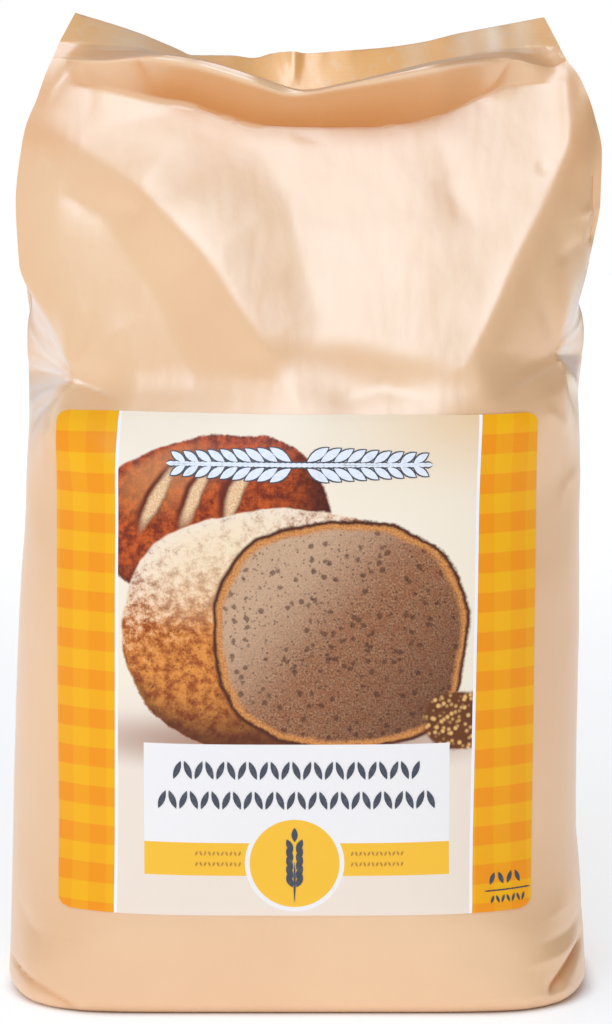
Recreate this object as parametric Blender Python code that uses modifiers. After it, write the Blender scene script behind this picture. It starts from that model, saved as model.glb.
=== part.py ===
"""Bag of flour: a filled bag of pearl film with side gussets, standing on its base, with a paper label.

The film is one piece. It is built as a loft of closed rows that climb from the base, over the front roll
and up the heat-sealed strip. Each row runs along the front panel, the right gusset, the back panel and the
left gusset. The flour fills the bag up to the waist; above it the panels lean together and the gussets
tuck in between them. Lengths in the tables are millimetres. X is to the viewer's right, Y away from the
viewer and Z up, with the origin under the middle of the base.
"""

import math

import bpy
import numpy as np

MM = 0.001

# Driving dimensions of the film bag
BASE_RADIUS = 5.0
BODY_TOP = 209.0
STRIP_HEIGHT = 13.0
STRIP_THICKNESS = 1.6

# Panel widths along a row, in columns: the outer columns of the front and back lie over the tucked gusset
GUSSET_COLUMNS = 8
CENTRE_COLUMNS = 20
PANEL_COLUMNS = 2 * GUSSET_COLUMNS + CENTRE_COLUMNS
LOOP_COLUMNS = 2 * PANEL_COLUMNS + 4 * GUSSET_COLUMNS
TUCK_SHARE = 0.453
COLUMN_SPACING = 4.9

# Edges of the panels that set how high each column's rows climb over the roll
NOMINAL_EDGES = (-83.0, 86.0)

# Rows in each stretch of the climb
BASE_ROWS = 3
FOOT_ROWS = 4
BELLY_ROWS = 8
SHOULDER_ROWS = 10
LEAN_ROWS = 11
ROLL_FACE_ROWS = 5
ROLL_TOP_ROWS = 5
STRIP_ROWS = 3
FOOT_TOP = 30.0
BELLY_TOP = 158.0

# Each table is (height, value)
HALF_WIDTH = [(0, 94), (25, 92), (55, 89.8), (89, 88.8), (125, 88), (155, 86), (183, 88.5), (303, 93.5)]
SQUARENESS = [(0, 9.0), (25, 4.6), (60, 3.3), (303, 3.2)]
BOXINESS = [(0, 2.6), (40, 2.0), (303, 2.0)]
FRONT_BULGE = [(0, 50), (33, 54.5), (93, 56.5), (143, 55), (181, 51.5), (213, 48), (293, 45)]
BACK_BULGE = [(0, 49), (33, 52), (93, 54), (143, 52), (181, 49), (213, 45), (293, 41)]
LEFT_FRONT_EDGE = [
    (0, -83), (25, -82), (63, -80), (153, -77.5), (166, -77.5), (178, -76.5), (186.5, -74), (193, -69),
    (203, -73.5), (214, -80), (227, -86), (247, -87.2), (265, -85.2), (278, -80.7), (287, -77.5), (293, -75),
]
RIGHT_FRONT_EDGE = [
    (0, 83), (25, 81), (63, 79.5), (143, 79.5), (163, 82), (181, 84), (192, 82.8), (201, 79.7),
    (209, 83.5), (217, 87), (232, 91), (247, 93.6), (262, 93.8), (272, 91.7), (284, 87.5), (294, 80),
]
LEFT_BACK_EDGE = [
    (0, -83), (25, -82), (63, -80), (153, -79), (193, -83), (225, -86), (264, -86), (285, -78), (292, -75),
]
RIGHT_BACK_EDGE = [
    (0, 83), (25, 81), (63, 79.5), (153, 81), (193, 84), (225, 88), (264, 89), (285, 84), (293, 80),
]
LEFT_TUCK = [
    (0, -93.5), (25, -91.8), (60, -90.3), (93, -88.8), (125, -87.3), (153, -84.5), (185, -84),
    (205, -84.5), (228, -79), (248, -67), (271, -51),
]
RIGHT_TUCK = [
    (0, 93), (25, 90.3), (60, 88), (93, 88), (125, 88.5), (153, 88), (185, 88),
    (205, 89.5), (228, 82), (248, 71), (271, 56),
]

# Tables of (place across, value) for the top of the bag
RIDGE_HEIGHT = [
    (-83, 291), (-66, 289.9), (-48, 291.4), (-32, 289.3), (-14, 284.2), (-1, 280.4), (10, 282.3),
    (28, 285.8), (52, 290), (65, 290.9), (79, 288), (86, 290),
]
VALLEY_HEIGHT = [
    (-83, 283), (-64, 282), (-48, 278.9), (-35, 276.8), (-23, 272.9), (-11, 269.8), (7, 269.3),
    (22, 269.4), (42, 272.4), (57, 278.8), (65, 282), (86, 283),
]
ROLL_OVERHANG = [(-60, 0), (-47, 0.2), (-38, 0.75), (-20, 1), (35, 1), (48, 0.75), (58, 0.2), (68, 0)]
ROLL_SLOPE = 1.7
ROLL_TURN = 0.3
SEAL_HEIGHT = [
    (-74, 295.5), (-50, 294), (-40, 291), (-31, 288), (-15, 283), (0, 280.5), (15, 282.3),
    (30, 286), (51, 291), (66, 293.6), (81, 294.6),
]
SEAL_DEPTH = [(-74, 3), (-45, 3.5), (-20, 6.5), (0, 8), (25, 6.5), (50, 3.5), (81, 3)]
STRIP_TOP_HEIGHT = [
    (-70, 304.5), (-51, 298.8), (-39, 294), (-33, 291.6), (-21, 291.5), (-14, 290.7), (-8, 292.1),
    (-2, 292.7), (3, 292.1), (10, 292.6), (28, 294), (40, 295.8), (50, 298.2), (65, 300.9), (77, 303),
]
SEAL_ENDS = (-74.0, 81.0)
STRIP_ENDS = (-69.8, 77.3)

# The strip leans back at least this far, waves near its right end, and opens a little over the gussets
STRIP_LEAN = 2.0
WAVE_DEPTH, WAVE_PITCH, WAVE_START = 1.3, 17.0, 34.0
WAVE_FADES_IN = (30.0, 42.0)
WAVE_FADES_OUT = (66.0, 74.0)
MOUTH_CLOSED, MOUTH_OPENING = 0.4, 1.76
MOUTH_RISE = 0.15

# The top's curve from the crest back to the seal: how far its handle goes back and how high it stands
ROLL_HANDLE = (0.3, 1.2)

# The back rises to this far under the seal, and the last stretch of its rows is this tall
BACK_TOP_DROP = 9.0
BACK_TOP_ROLL = 8.0
BACK_NARROWING = 0.9

# Facets of the upper front and back, each through three points (across, depth, height)
CENTRE_FACET = ((0, -50, 181), (-60, -14, 260), (60, -14, 260))
LEFT_FACET = ((-75.3, -6.3, 277), (-12, -37.5, 202.5), (-69, -22, 193))
RIGHT_FACET = ((84.5, -14, 260), (53.8, -43.9, 194.5), (79.7, -22, 201))
BACK_CENTRE_FACET = ((0, 47, 188), (-60, 15.5, 269), (60, 15.5, 269))
BACK_LEFT_FACET = ((-77, 10.5, 277), (-40, 36, 215), (-84, 22, 198))
BACK_RIGHT_FACET = ((80, 10.5, 277), (42, 36, 215), (86, 22, 198))

# How softly the facets join: the middle one, the left one and the right one
FRONT_SOFTNESS = (8.0, 12.0, 6.0)
BACK_SOFTNESS = (10.0, 12.0, 12.0)

# Below a pinch the flour pushes a side facet out again: (place across, height) of the pinch, and how the
# height where that starts rises towards the middle. It goes fastest at the pinch itself.
LEFT_PINCH = (-69.0, 194.0)
RIGHT_PINCH = (79.7, 201.0)
RELEASE_RISE = 0.25
RELEASE_SLOPES = (1.15, 0.6)
RELEASE_REACH = 22.0
RELEASE_ROUNDING = 7.0
BACK_PINCH_HEIGHT = 198.0
BACK_RELEASE_SLOPE = 0.5

# Seam down the middle of the back
SEAM_HALF_WIDTH = 6.0
SEAM_RELIEF = 0.8
SEAM_EDGE = 1.5

# Folds of the front film: (path of (across, height) points, depth inwards, half width)
FRONT_FOLDS = (
    (((-71, 194), (-61, 190), (-49, 188)), 3.5, 5.0),
    (((81, 201), (67, 193), (55, 188)), 3.5, 5.5),
    (((-48, 292), (-42, 284), (-35, 277)), -2.0, 4.0),
    (((65, 292), (61, 285), (56, 277)), -2.0, 4.0),
    (((83, 287), (84.5, 260), (78, 246)), -1.0, 4.0),
    (((-66, 244), (-55, 243), (-47, 240)), 1.0, 4.0),
    (((4, 180), (-11, 206), (-28, 231), (-48, 251), (-68, 264), (-83, 271)), -3.5, 9.0),
)
FOLD_FADES_FROM = 0.45

# The flour rounds the left edge of the upper front: how wide and how deep, and from where to where
EDGE_TURN = (15.0, 2.6)
EDGE_TURN_STARTS = (195.0, 215.0)
EDGE_TURN_ENDS = (255.0, 275.0)

# Gusset: height of its middle fold when the front panel's rows reach the valley and the crest
TUCK_AT_VALLEY, TUCK_AT_CREST = 263.0, 273.0
GUSSET_BULGE = 3.2
GUSSET_FLATTENS = (153.0, 203.0)

# Rounding of the rows' corners: full up to the first level and gone at the second
ROUNDING = 6.5
ROUNDING_ENDS = (0.72, 0.92)

# Label
LABEL_LEFT, LABEL_RIGHT = -73.0, 72.5
LABEL_BOTTOM, LABEL_TOP = 32.5, 184.0
LABEL_CORNER = 4.5
LABEL_GAP = 0.42
LABEL_THICKNESS = 0.3
LABEL_CORNER_ROWS = 3
LABEL_MARGIN = 2.5
LABEL_ROW_CLEARANCE = 1.0

# Finishes
FILM_COLOUR = (0.76, 0.49, 0.27, 1.0)
FILM_ROUGHNESS, FILM_METALLIC = 0.4, 0.3
LABEL_COLOUR = (0.86, 0.50, 0.10, 1.0)
LABEL_ROUGHNESS, LABEL_METALLIC = 0.45, 0.0
SHARP_DEGREES = 35


def curve(points, at):
    """Reads a smooth curve through (place, value) points, with no overshoot, at the given places."""
    place, value = np.array(points, float).T
    step = np.diff(place)
    slope = np.diff(value) / step
    before, after = slope[:-1], slope[1:]
    bends_one_way = before * after > 0
    mean = np.where(bends_one_way, 2 * before * after / np.where(bends_one_way, before + after, 1), 0)
    tangent = np.concatenate([slope[:1], mean, slope[-1:]])
    k = np.clip(np.searchsorted(place, at) - 1, 0, len(step) - 1)
    t = np.clip((at - place[k]) / step[k], 0, 1)
    return (
        value[k] * (2 * t**3 - 3 * t**2 + 1)
        + value[k + 1] * (3 * t**2 - 2 * t**3)
        + step[k] * (tangent[k] * (t**3 - 2 * t**2 + t) + tangent[k + 1] * (t**3 - t**2))
    )


def ease(at, start=0.0, end=1.0):
    """Smooth step from 0 at start to 1 at end."""
    t = np.clip((at - start) / (end - start), 0, 1)
    return t * t * (3 - 2 * t)


def round_max(a, b, radius):
    """The larger of two depths, with the corner between them rounded."""
    near = np.clip(radius - np.abs(a - b), 0, None) / radius
    return np.maximum(a, b) + near**2 * radius / 4


def facet(corners, x, z):
    """Depth of the plane through three (across, depth, height) corners."""
    (x0, y0, z0), (x1, y1, z1), (x2, y2, z2) = corners
    per_x, per_z = np.linalg.solve([[x1 - x0, z1 - z0], [x2 - x0, z2 - z0]], [y1 - y0, y2 - y0])
    return y0 + per_x * (x - x0) + per_z * (z - z0)


def fold(x, z, path, depth, half_width):
    """Depth that a fold adds: full along its path, fading to the sides and towards its last point."""
    corners = np.array(path, float)
    lengths = np.linalg.norm(np.diff(corners, axis=0), axis=1)
    total = lengths.sum()
    best = np.full(np.shape(x), 1e9)
    along = np.zeros(np.shape(x))
    done = 0.0
    for start, end, length in zip(corners[:-1], corners[1:], lengths):
        direction = (end - start) / length
        t = np.clip((x - start[0]) * direction[0] + (z - start[1]) * direction[1], 0, length)
        distance = np.hypot(x - start[0] - t * direction[0], z - start[1] - t * direction[1])
        nearer = distance < best
        best = np.where(nearer, distance, best)
        along = np.where(nearer, done + t, along)
        done += length
    fade = 1 - ease(along / total, FOLD_FADES_FROM, 1.0)
    profile = 1 / (1 + (best / half_width) ** 2) * np.clip(1.6 - best / (2.5 * half_width), 0, 1)
    return depth * fade * profile


def release(x, z, pinch):
    """How far the flour pushes a side facet out below its pinch."""
    inboard = np.abs(pinch[0]) - np.abs(x)
    drop = np.clip(pinch[1] + RELEASE_RISE * np.clip(inboard, 0, None) - z, 0, None)
    soft = np.where(drop < RELEASE_ROUNDING, drop**2 / (2 * RELEASE_ROUNDING), drop - RELEASE_ROUNDING / 2)
    steep, gentle = RELEASE_SLOPES
    return (steep + (gentle - steep) * ease(inboard, 0.0, RELEASE_REACH)) * soft


def belly(x, z, bulge):
    """Depth of the filled, rounded part of a panel."""
    share = np.clip(np.abs(x) / curve(HALF_WIDTH, z), 0, 0.995)
    return curve(bulge, z) * (1 - share ** curve(SQUARENESS, z)) ** (1 / curve(BOXINESS, z))


def front_depth(x, z):
    """Depth of the front panel at a place across and a height; the viewer's side is negative."""
    middle, left, right = FRONT_SOFTNESS
    left_side = facet(LEFT_FACET, x, z) - release(x, z, LEFT_PINCH)
    right_side = facet(RIGHT_FACET, x, z) - release(x, z, RIGHT_PINCH)
    depth = round_max(-belly(x, z, FRONT_BULGE), facet(CENTRE_FACET, x, z), middle)
    depth = round_max(round_max(depth, left_side, left), right_side, right)
    valley = curve(VALLEY_HEIGHT, x)
    tall = np.maximum(curve(RIDGE_HEIGHT, x) - valley, 1)
    over = np.clip((z - valley) / tall, 0, 1)
    depth = depth - ROLL_SLOPE * curve(ROLL_OVERHANG, x) * tall * (over - ROLL_TURN * over**5)
    for path, deep, half_width in FRONT_FOLDS:
        depth = depth + fold(x, z, path, deep, half_width)
    wide, deep = EDGE_TURN
    turn = deep * np.clip(1 - (x - curve(LEFT_FRONT_EDGE, z)) / wide, 0, 1) ** 2
    return depth + turn * ease(z, *EDGE_TURN_STARTS) * (1 - ease(z, *EDGE_TURN_ENDS))


def back_depth(x, z):
    """Depth of the back panel, with its seam."""
    middle, left, right = BACK_SOFTNESS
    drop = BACK_RELEASE_SLOPE * np.clip(BACK_PINCH_HEIGHT - z, 0, None)
    left_side = -facet(BACK_LEFT_FACET, x, z) - drop
    right_side = -facet(BACK_RIGHT_FACET, x, z) - drop
    depth = round_max(-belly(x, z, BACK_BULGE), -facet(BACK_CENTRE_FACET, x, z), middle)
    depth = -round_max(round_max(depth, left_side, left), right_side, right)
    return depth + SEAM_RELIEF * (1 - ease(np.abs(x), SEAM_HALF_WIDTH, SEAM_HALF_WIDTH + SEAM_EDGE))


def spread(low, high, count):
    """Evenly spaced values after low, up to high."""
    return list(low + (high - low) * (np.arange(count) + 1) / count)


def panel_places():
    """Places of the columns across a panel, from -1 to 1, with closer ones over the tucked gussets."""
    inner = 1 - TUCK_SHARE
    left = [-1.0] + spread(-1, -inner, GUSSET_COLUMNS)
    return np.array(left + spread(-inner, inner, CENTRE_COLUMNS) + spread(inner, 1, GUSSET_COLUMNS))


def across(place, left, right):
    """Place across between two edges, for a place from -1 to 1."""
    return left + (right - left) * (place + 1) / 2


def row_heights(level, valley, top):
    """Height of a row at each column.

    Level is 0 to 1 up to the top of the body, 1 to 2 up to the valley and 2 to 3 up to the crest.
    """
    if level <= 1:
        return BASE_RADIUS + (BODY_TOP - BASE_RADIUS) * level + 0 * valley
    if level <= 2:
        return BODY_TOP + (valley - BODY_TOP) * (level - 1)
    return valley + (top - valley) * (level - 2)


def body_level(height):
    """Level of a row in the body at a height."""
    return (height - BASE_RADIUS) / (BODY_TOP - BASE_RADIUS)


def levels():
    """Levels of the rows between the base and the crest of the front roll."""
    foot, belly_top = body_level(FOOT_TOP), body_level(BELLY_TOP)
    return (
        [0.0]
        + spread(0, foot, FOOT_ROWS)
        + spread(foot, belly_top, BELLY_ROWS)
        + spread(belly_top, 1, SHOULDER_ROWS)
        + spread(1, 2, LEAN_ROWS)
        + spread(2, 3, ROLL_FACE_ROWS)
    )


def gusset_half(edge, tuck, share, bulge, side):
    """Points from a panel's edge to the gusset's middle fold, bulging outwards where flour fills it."""
    line = edge[None, :] + (tuck - edge)[None, :] * share[:, None]
    line[:, 0] += side * bulge * 4 * share * (1 - share)
    return line


def closed_row(front, back, halves):
    """One closed row from its front, its back from right to left, and the gusset halves from edge to fold."""
    right_front, right_back, left_front, left_back = halves
    right = [right_front[1:], right_back[::-1][1:]]
    return np.concatenate([front, *right, back[1:], left_back[1:], left_front[::-1][1:-1]])


def body_row(level):
    """One closed row of the bag's body: front, right gusset, back, left gusset."""
    place = panel_places()
    nominal = across(place, *NOMINAL_EDGES)
    z = row_heights(level, curve(VALLEY_HEIGHT, nominal), curve(RIDGE_HEIGHT, nominal))
    x = across(place, curve(LEFT_FRONT_EDGE, z), curve(RIGHT_FRONT_EDGE, z))
    front = np.stack([x, front_depth(x, z), z], 1)
    back_top = curve(SEAL_HEIGHT, nominal * BACK_NARROWING) - BACK_TOP_DROP
    z = row_heights(level, back_top - BACK_TOP_ROLL, back_top)
    x = across(place, curve(LEFT_BACK_EDGE, z), curve(RIGHT_BACK_EDGE, z))
    back = np.stack([x, back_depth(x, z), z], 1)[::-1]
    share = np.arange(GUSSET_COLUMNS + 1) / GUSSET_COLUMNS
    tuck_height = float(row_heights(level, TUCK_AT_VALLEY, TUCK_AT_CREST))
    bulge = GUSSET_BULGE * (1 - ease(tuck_height, *GUSSET_FLATTENS))
    halves = []
    for side, table in ((1, RIGHT_TUCK), (-1, LEFT_TUCK)):
        front_edge, back_edge = (front[-1], back[0]) if side > 0 else (front[0], back[-1])
        tuck = np.array([curve(table, tuck_height), (front_edge[1] + back_edge[1]) / 2, tuck_height])
        halves.append(gusset_half(front_edge, tuck, share, bulge, side))
        halves.append(gusset_half(back_edge, tuck, share, bulge, side))
    return closed_row(front, back, halves)


def strip_row(share):
    """One closed row of the heat-sealed strip. Share is 0 at its foot and 1 at its top edge."""
    place = panel_places()
    foot_x, top_x = across(place, *SEAL_ENDS), across(place, *STRIP_ENDS)
    foot_z, top_z = curve(SEAL_HEIGHT, foot_x), curve(STRIP_TOP_HEIGHT, top_x)
    lean = np.sqrt(np.clip(STRIP_HEIGHT**2 - (top_z - foot_z) ** 2, STRIP_LEAN**2, None))
    wave = WAVE_DEPTH * np.sin((foot_x - WAVE_START) / WAVE_PITCH * 2 * math.pi)
    wave *= ease(foot_x, *WAVE_FADES_IN) * (1 - ease(foot_x, *WAVE_FADES_OUT))
    x = foot_x + (top_x - foot_x) * share
    y = curve(SEAL_DEPTH, foot_x) + (lean + wave) * share
    z = foot_z + (top_z - foot_z) * share
    front = np.stack([x, y, z], 1)
    inward = np.clip(1 - (1 - np.abs(place)) / TUCK_SHARE, 0, 1)[:, None]
    wall = np.array([0, STRIP_THICKNESS / 2, 0]) * (1 - inward)
    inside = front + wall
    mouth = (MOUTH_CLOSED + MOUTH_OPENING * inward * share) * inward
    back_inside = inside + mouth * np.array([0, 1.0, MOUTH_RISE])
    back = (back_inside + wall)[::-1]
    count = GUSSET_COLUMNS + 1
    halves = (inside[::-1][:count], back_inside[::-1][:count], inside[:count], back_inside[:count])
    return closed_row(front, back, halves)


def rounded(row, passes):
    """The row with its corners rounded by repeated averaging with its neighbours."""
    for _ in range(passes):
        row = (np.roll(row, 1, 0) + 2 * row + np.roll(row, -1, 0)) / 4
    return row


def film_rows():
    """All rows of the film, from the base's flat outline to the strip's top edge."""
    body = []
    passes = round(2 * (ROUNDING / COLUMN_SPACING) ** 2)
    for level in levels():
        row = body_row(level)
        soft = 1 - ease(level, *ROUNDING_ENDS)
        if soft > 0:
            row = soft * rounded(row, passes) + (1 - soft) * row
        body.append(row)
    base = []
    for step in range(BASE_ROWS):
        turn = math.pi / 2 * step / BASE_ROWS
        inset = BASE_RADIUS * (1 - math.sin(turn))
        row = body[0].copy()
        row[:, 0] *= 1 - inset / curve(HALF_WIDTH, 0.0)
        row[:, 1] *= 1 - inset / curve(FRONT_BULGE, 0.0)
        row[:, 2] = BASE_RADIUS * (1 - math.cos(turn))
        base.append(row)
    seal, crest = strip_row(0.0), body[-1]
    back_share, rise = ROLL_HANDLE
    handle = crest + (seal - crest) * back_share
    handle[:, 2] = crest[:, 2] + rise
    roll = [
        (1 - w) ** 2 * crest + 2 * w * (1 - w) * handle + w * w * seal
        for w in spread(0, 1, ROLL_TOP_ROWS)
    ]
    strip = [strip_row(share) for share in spread(0, 1, STRIP_ROWS)]
    return np.array(base + body + roll + strip)


def centred(rows):
    """The rows moved sideways, so that the bag with its label stands over the middle of its bounding box."""
    low, high = rows.min((0, 1)), rows.max((0, 1))
    low[1] -= LABEL_GAP + LABEL_THICKNESS
    return rows - (low + high) / 2 * np.array([1, 1, 0])


def film_faces(rows):
    """Faces of the loft as tuples of point numbers: the sides, the flat base and the strip's top edge."""
    loop, panel, gusset = LOOP_COLUMNS, PANEL_COLUMNS, GUSSET_COLUMNS
    faces = [tuple(reversed(range(loop)))]
    for row in range(rows - 1):
        low, high = row * loop, (row + 1) * loop
        for column in range(loop):
            beside = (column + 1) % loop
            faces.append((low + column, low + beside, high + beside, high + column))
    top = (rows - 1) * loop
    back_corner = 2 * panel + 2 * gusset
    for corner in (panel, panel + 2 * gusset, back_corner, loop):
        for i in range(gusset):
            ring = [n % loop for n in (corner - i - 1, corner - i, corner + i, corner + i + 1)]
            unique = [n for k, n in enumerate(ring) if n not in ring[:k]]
            faces.append(tuple(top + n for n in unique))
    for column in range(gusset, panel - gusset):
        ring = [column, column + 1, back_corner - column - 1, back_corner - column]
        if column == gusset:
            ring.append(back_corner + gusset)
        if column == panel - gusset - 1:
            ring.insert(2, panel + gusset)
        faces.append(tuple(top + n for n in ring))
    return faces


def material(name, colour, roughness, metallic):
    """A Principled material with the piece's colour and finish."""
    made = bpy.data.materials.new(name)
    made.use_nodes = True
    shader = made.node_tree.nodes["Principled BSDF"]
    shader.inputs["Base Color"].default_value = colour
    shader.inputs["Roughness"].default_value = roughness
    shader.inputs["Metallic"].default_value = metallic
    made.diffuse_color = colour
    return made


def add_object(name, points, faces, finish, collection):
    """A mesh object from points in millimetres."""
    mesh = bpy.data.meshes.new(name)
    mesh.from_pydata((np.asarray(points) * MM).tolist(), [], faces)
    mesh.materials.append(finish)
    mesh.validate()
    made = bpy.data.objects.new(name, mesh)
    collection.objects.link(made)
    return made


def build_bag(collection, rows):
    """The closed film bag with its contents, as one solid."""
    finish = material("pearl_film", FILM_COLOUR, FILM_ROUGHNESS, FILM_METALLIC)
    bag = add_object("bag", rows.reshape(-1, 3), film_faces(len(rows)), finish, collection)
    bag.data.shade_smooth()
    bag.data.set_sharp_from_angle(angle=math.radians(SHARP_DEGREES))
    return bag


def label_inset(z):
    """How far the label's sides stand in at a height, because of its rounded corners."""
    past = max(LABEL_BOTTOM + LABEL_CORNER - z, z - LABEL_TOP + LABEL_CORNER, 0)
    return LABEL_CORNER - math.sqrt(LABEL_CORNER**2 - past**2)


def label_heights(film_heights):
    """Heights of the label's rows: those of the film's rows, and closer ones at the rounded corners."""
    turns = [math.pi / 2 * i / LABEL_CORNER_ROWS for i in range(LABEL_CORNER_ROWS + 1)]
    corner = [LABEL_CORNER * (1 - math.cos(turn)) for turn in turns]
    low = [LABEL_BOTTOM + c for c in corner]
    high = [LABEL_TOP - c for c in reversed(corner)]
    clear = LABEL_ROW_CLEARANCE
    return low + [z for z in film_heights if low[-1] + clear < z < high[0] - clear] + high


def build_label(collection, rows):
    """The paper label, which follows the film's front panel a hair in front of it."""
    front = rows[:, : PANEL_COLUMNS + 1]
    row_height = front[:, 0, 2]
    heights = label_heights(row_height[row_height < BODY_TOP])
    middle = front[np.searchsorted(row_height, (LABEL_BOTTOM + LABEL_TOP) / 2)]
    inside = (middle[:, 0] > LABEL_LEFT + LABEL_MARGIN) & (middle[:, 0] < LABEL_RIGHT - LABEL_MARGIN)
    grid = []
    for z in heights:
        above = np.searchsorted(row_height, z)
        share = (z - row_height[above - 1]) / (row_height[above] - row_height[above - 1])
        line = front[above - 1] * (1 - share) + front[above] * share
        left, right = LABEL_LEFT + label_inset(z), LABEL_RIGHT - label_inset(z)
        middle_x = np.clip(line[inside, 0], left + LABEL_ROW_CLEARANCE, right - LABEL_ROW_CLEARANCE)
        x = np.concatenate([[left], middle_x, [right]])
        grid.append(np.stack([x, np.interp(x, line[:, 0], line[:, 1]), 0 * x + z], 1))
    grid = np.array(grid)
    normal = np.cross(np.gradient(grid, axis=1), np.gradient(grid, axis=0))
    normal /= np.linalg.norm(normal, axis=2, keepdims=True)
    grid += normal * LABEL_GAP
    wide = grid.shape[1]
    faces = [
        (r * wide + c, r * wide + c + 1, (r + 1) * wide + c + 1, (r + 1) * wide + c)
        for r in range(len(grid) - 1)
        for c in range(wide - 1)
    ]
    finish = material("label_paper", LABEL_COLOUR, LABEL_ROUGHNESS, LABEL_METALLIC)
    label = add_object("label", grid.reshape(-1, 3), faces, finish, collection)
    label.data.shade_smooth()
    wall = label.modifiers.new("paper thickness", "SOLIDIFY")
    wall.thickness = LABEL_THICKNESS * MM
    wall.offset = 1.0
    return label


def main():
    """Clears the scene and builds the bag and its label."""
    for old in list(bpy.data.objects):
        bpy.data.objects.remove(old)
    collection = bpy.data.collections.new("bag_of_flour")
    bpy.context.scene.collection.children.link(collection)
    rows = centred(film_rows())
    build_bag(collection, rows)
    build_label(collection, rows)


main()
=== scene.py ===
"""Bag of flour: the looks of a filled bag of pearl film with side gussets and a printed paper label.

Every class builds one piece of the scene. Lengths in the tables and fields are millimetres, and meshes are
turned into metres when they are made. X is to the viewer's right, Y away from the viewer and Z up.
"""

import logging
import math
from dataclasses import dataclass, field
from enum import Enum
from typing import Sequence

import bpy
import numpy as np
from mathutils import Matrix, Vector, noise


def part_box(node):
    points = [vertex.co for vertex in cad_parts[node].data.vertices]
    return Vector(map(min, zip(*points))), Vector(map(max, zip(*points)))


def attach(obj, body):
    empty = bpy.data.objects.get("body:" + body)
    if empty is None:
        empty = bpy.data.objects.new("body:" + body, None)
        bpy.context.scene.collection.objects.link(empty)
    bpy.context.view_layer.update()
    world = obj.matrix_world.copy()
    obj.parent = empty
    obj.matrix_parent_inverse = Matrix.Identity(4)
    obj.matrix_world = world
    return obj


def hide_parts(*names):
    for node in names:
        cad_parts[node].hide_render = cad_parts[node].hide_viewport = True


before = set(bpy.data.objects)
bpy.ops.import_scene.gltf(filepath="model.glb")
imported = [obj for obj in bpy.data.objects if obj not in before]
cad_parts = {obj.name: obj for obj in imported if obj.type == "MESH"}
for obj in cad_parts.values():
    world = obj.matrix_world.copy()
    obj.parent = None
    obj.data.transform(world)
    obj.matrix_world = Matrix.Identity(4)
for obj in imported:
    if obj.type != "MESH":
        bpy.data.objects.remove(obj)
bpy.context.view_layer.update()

MM = 0.001
LOG = logging.getLogger("bag_of_flour")

Array = np.ndarray
Colour = tuple[float, float, float]
Material = bpy.types.Material
Pair = tuple[float, float]
Piece = bpy.types.Object
Points = Sequence[tuple[float, ...]]
Socket = bpy.types.NodeSocket


class Side(Enum):
    """Which side of the bag a thing is on, as the sign of its X."""

    LEFT = -1
    RIGHT = 1


class Ink(Enum):
    """Printing inks, by how far each lies over the first one, in millimetres."""

    SLATE = 0.0
    TAN = 0.001
    WHITE = 0.06


def curve(points: Points, at: Array | float) -> Array:
    """Reads a smooth curve with no overshoot.

    Args:
        points: (place, value) pairs in rising order of place.
        at: places to read.

    Returns:
        The values there, held constant past the ends.
    """
    place, value = np.array(points, float).T
    step = np.diff(place)
    slope = np.diff(value) / step
    before, after = slope[:-1], slope[1:]
    one_way = before * after > 0
    mean = np.where(one_way, 2 * before * after / np.where(one_way, before + after, 1), 0)
    tangent = np.concatenate([slope[:1], mean, slope[-1:]])
    k = np.clip(np.searchsorted(place, at) - 1, 0, len(step) - 1)
    t = np.clip((at - place[k]) / step[k], 0, 1)
    return (
        value[k] * (2 * t**3 - 3 * t**2 + 1)
        + value[k + 1] * (3 * t**2 - 2 * t**3)
        + step[k] * (tangent[k] * (t**3 - 2 * t**2 + t) + tangent[k + 1] * (t**3 - t**2))
    )


def ease(t: Array | float) -> Array:
    """Smooth step from 0 to 1, for values that are 0 at its start and 1 at its end."""
    t = np.clip(t, 0, 1)
    return t * t * (3 - 2 * t)


def round_max(a: Array, b: Array, radius: float | Array) -> Array:
    """The larger of two depths, with the corner between them rounded over a radius."""
    near = np.clip(radius - np.abs(a - b), 0, None) / radius
    return np.maximum(a, b) + near**2 * radius / 4


def facet(corners: Points, x: Array, z: Array) -> Array:
    """Depth of a plane.

    Args:
        corners: three (across, depth, height) points of the plane.
        x: places across.
        z: heights.

    Returns:
        The plane's depths.
    """
    (x0, y0, z0), (x1, y1, z1), (x2, y2, z2) = corners
    per_x, per_z = np.linalg.solve([[x1 - x0, z1 - z0], [x2 - x0, z2 - z0]], [y1 - y0, y2 - y0])
    return y0 + per_x * (x - x0) + per_z * (z - z0)


def spread(low: float, high: float, count: int) -> list[float]:
    """A number of evenly spaced values from low to high, with low left out."""
    return list(low + (high - low) * (np.arange(count) + 1) / count)


def grid_normals(grid: Array, closed: bool) -> Array:
    """Unit normals of a grid of points.

    Args:
        grid: rows by columns by 3.
        closed: whether each row is a closed loop.

    Returns:
        Normals of the same shape, outwards where rows climb and columns run anticlockwise from above.
    """
    along = np.roll(grid, -1, 1) - np.roll(grid, 1, 1) if closed else np.gradient(grid, axis=1)
    normal = np.cross(along, np.gradient(grid, axis=0))
    return normal / np.maximum(np.linalg.norm(normal, axis=2, keepdims=True), 1e-9)


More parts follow.
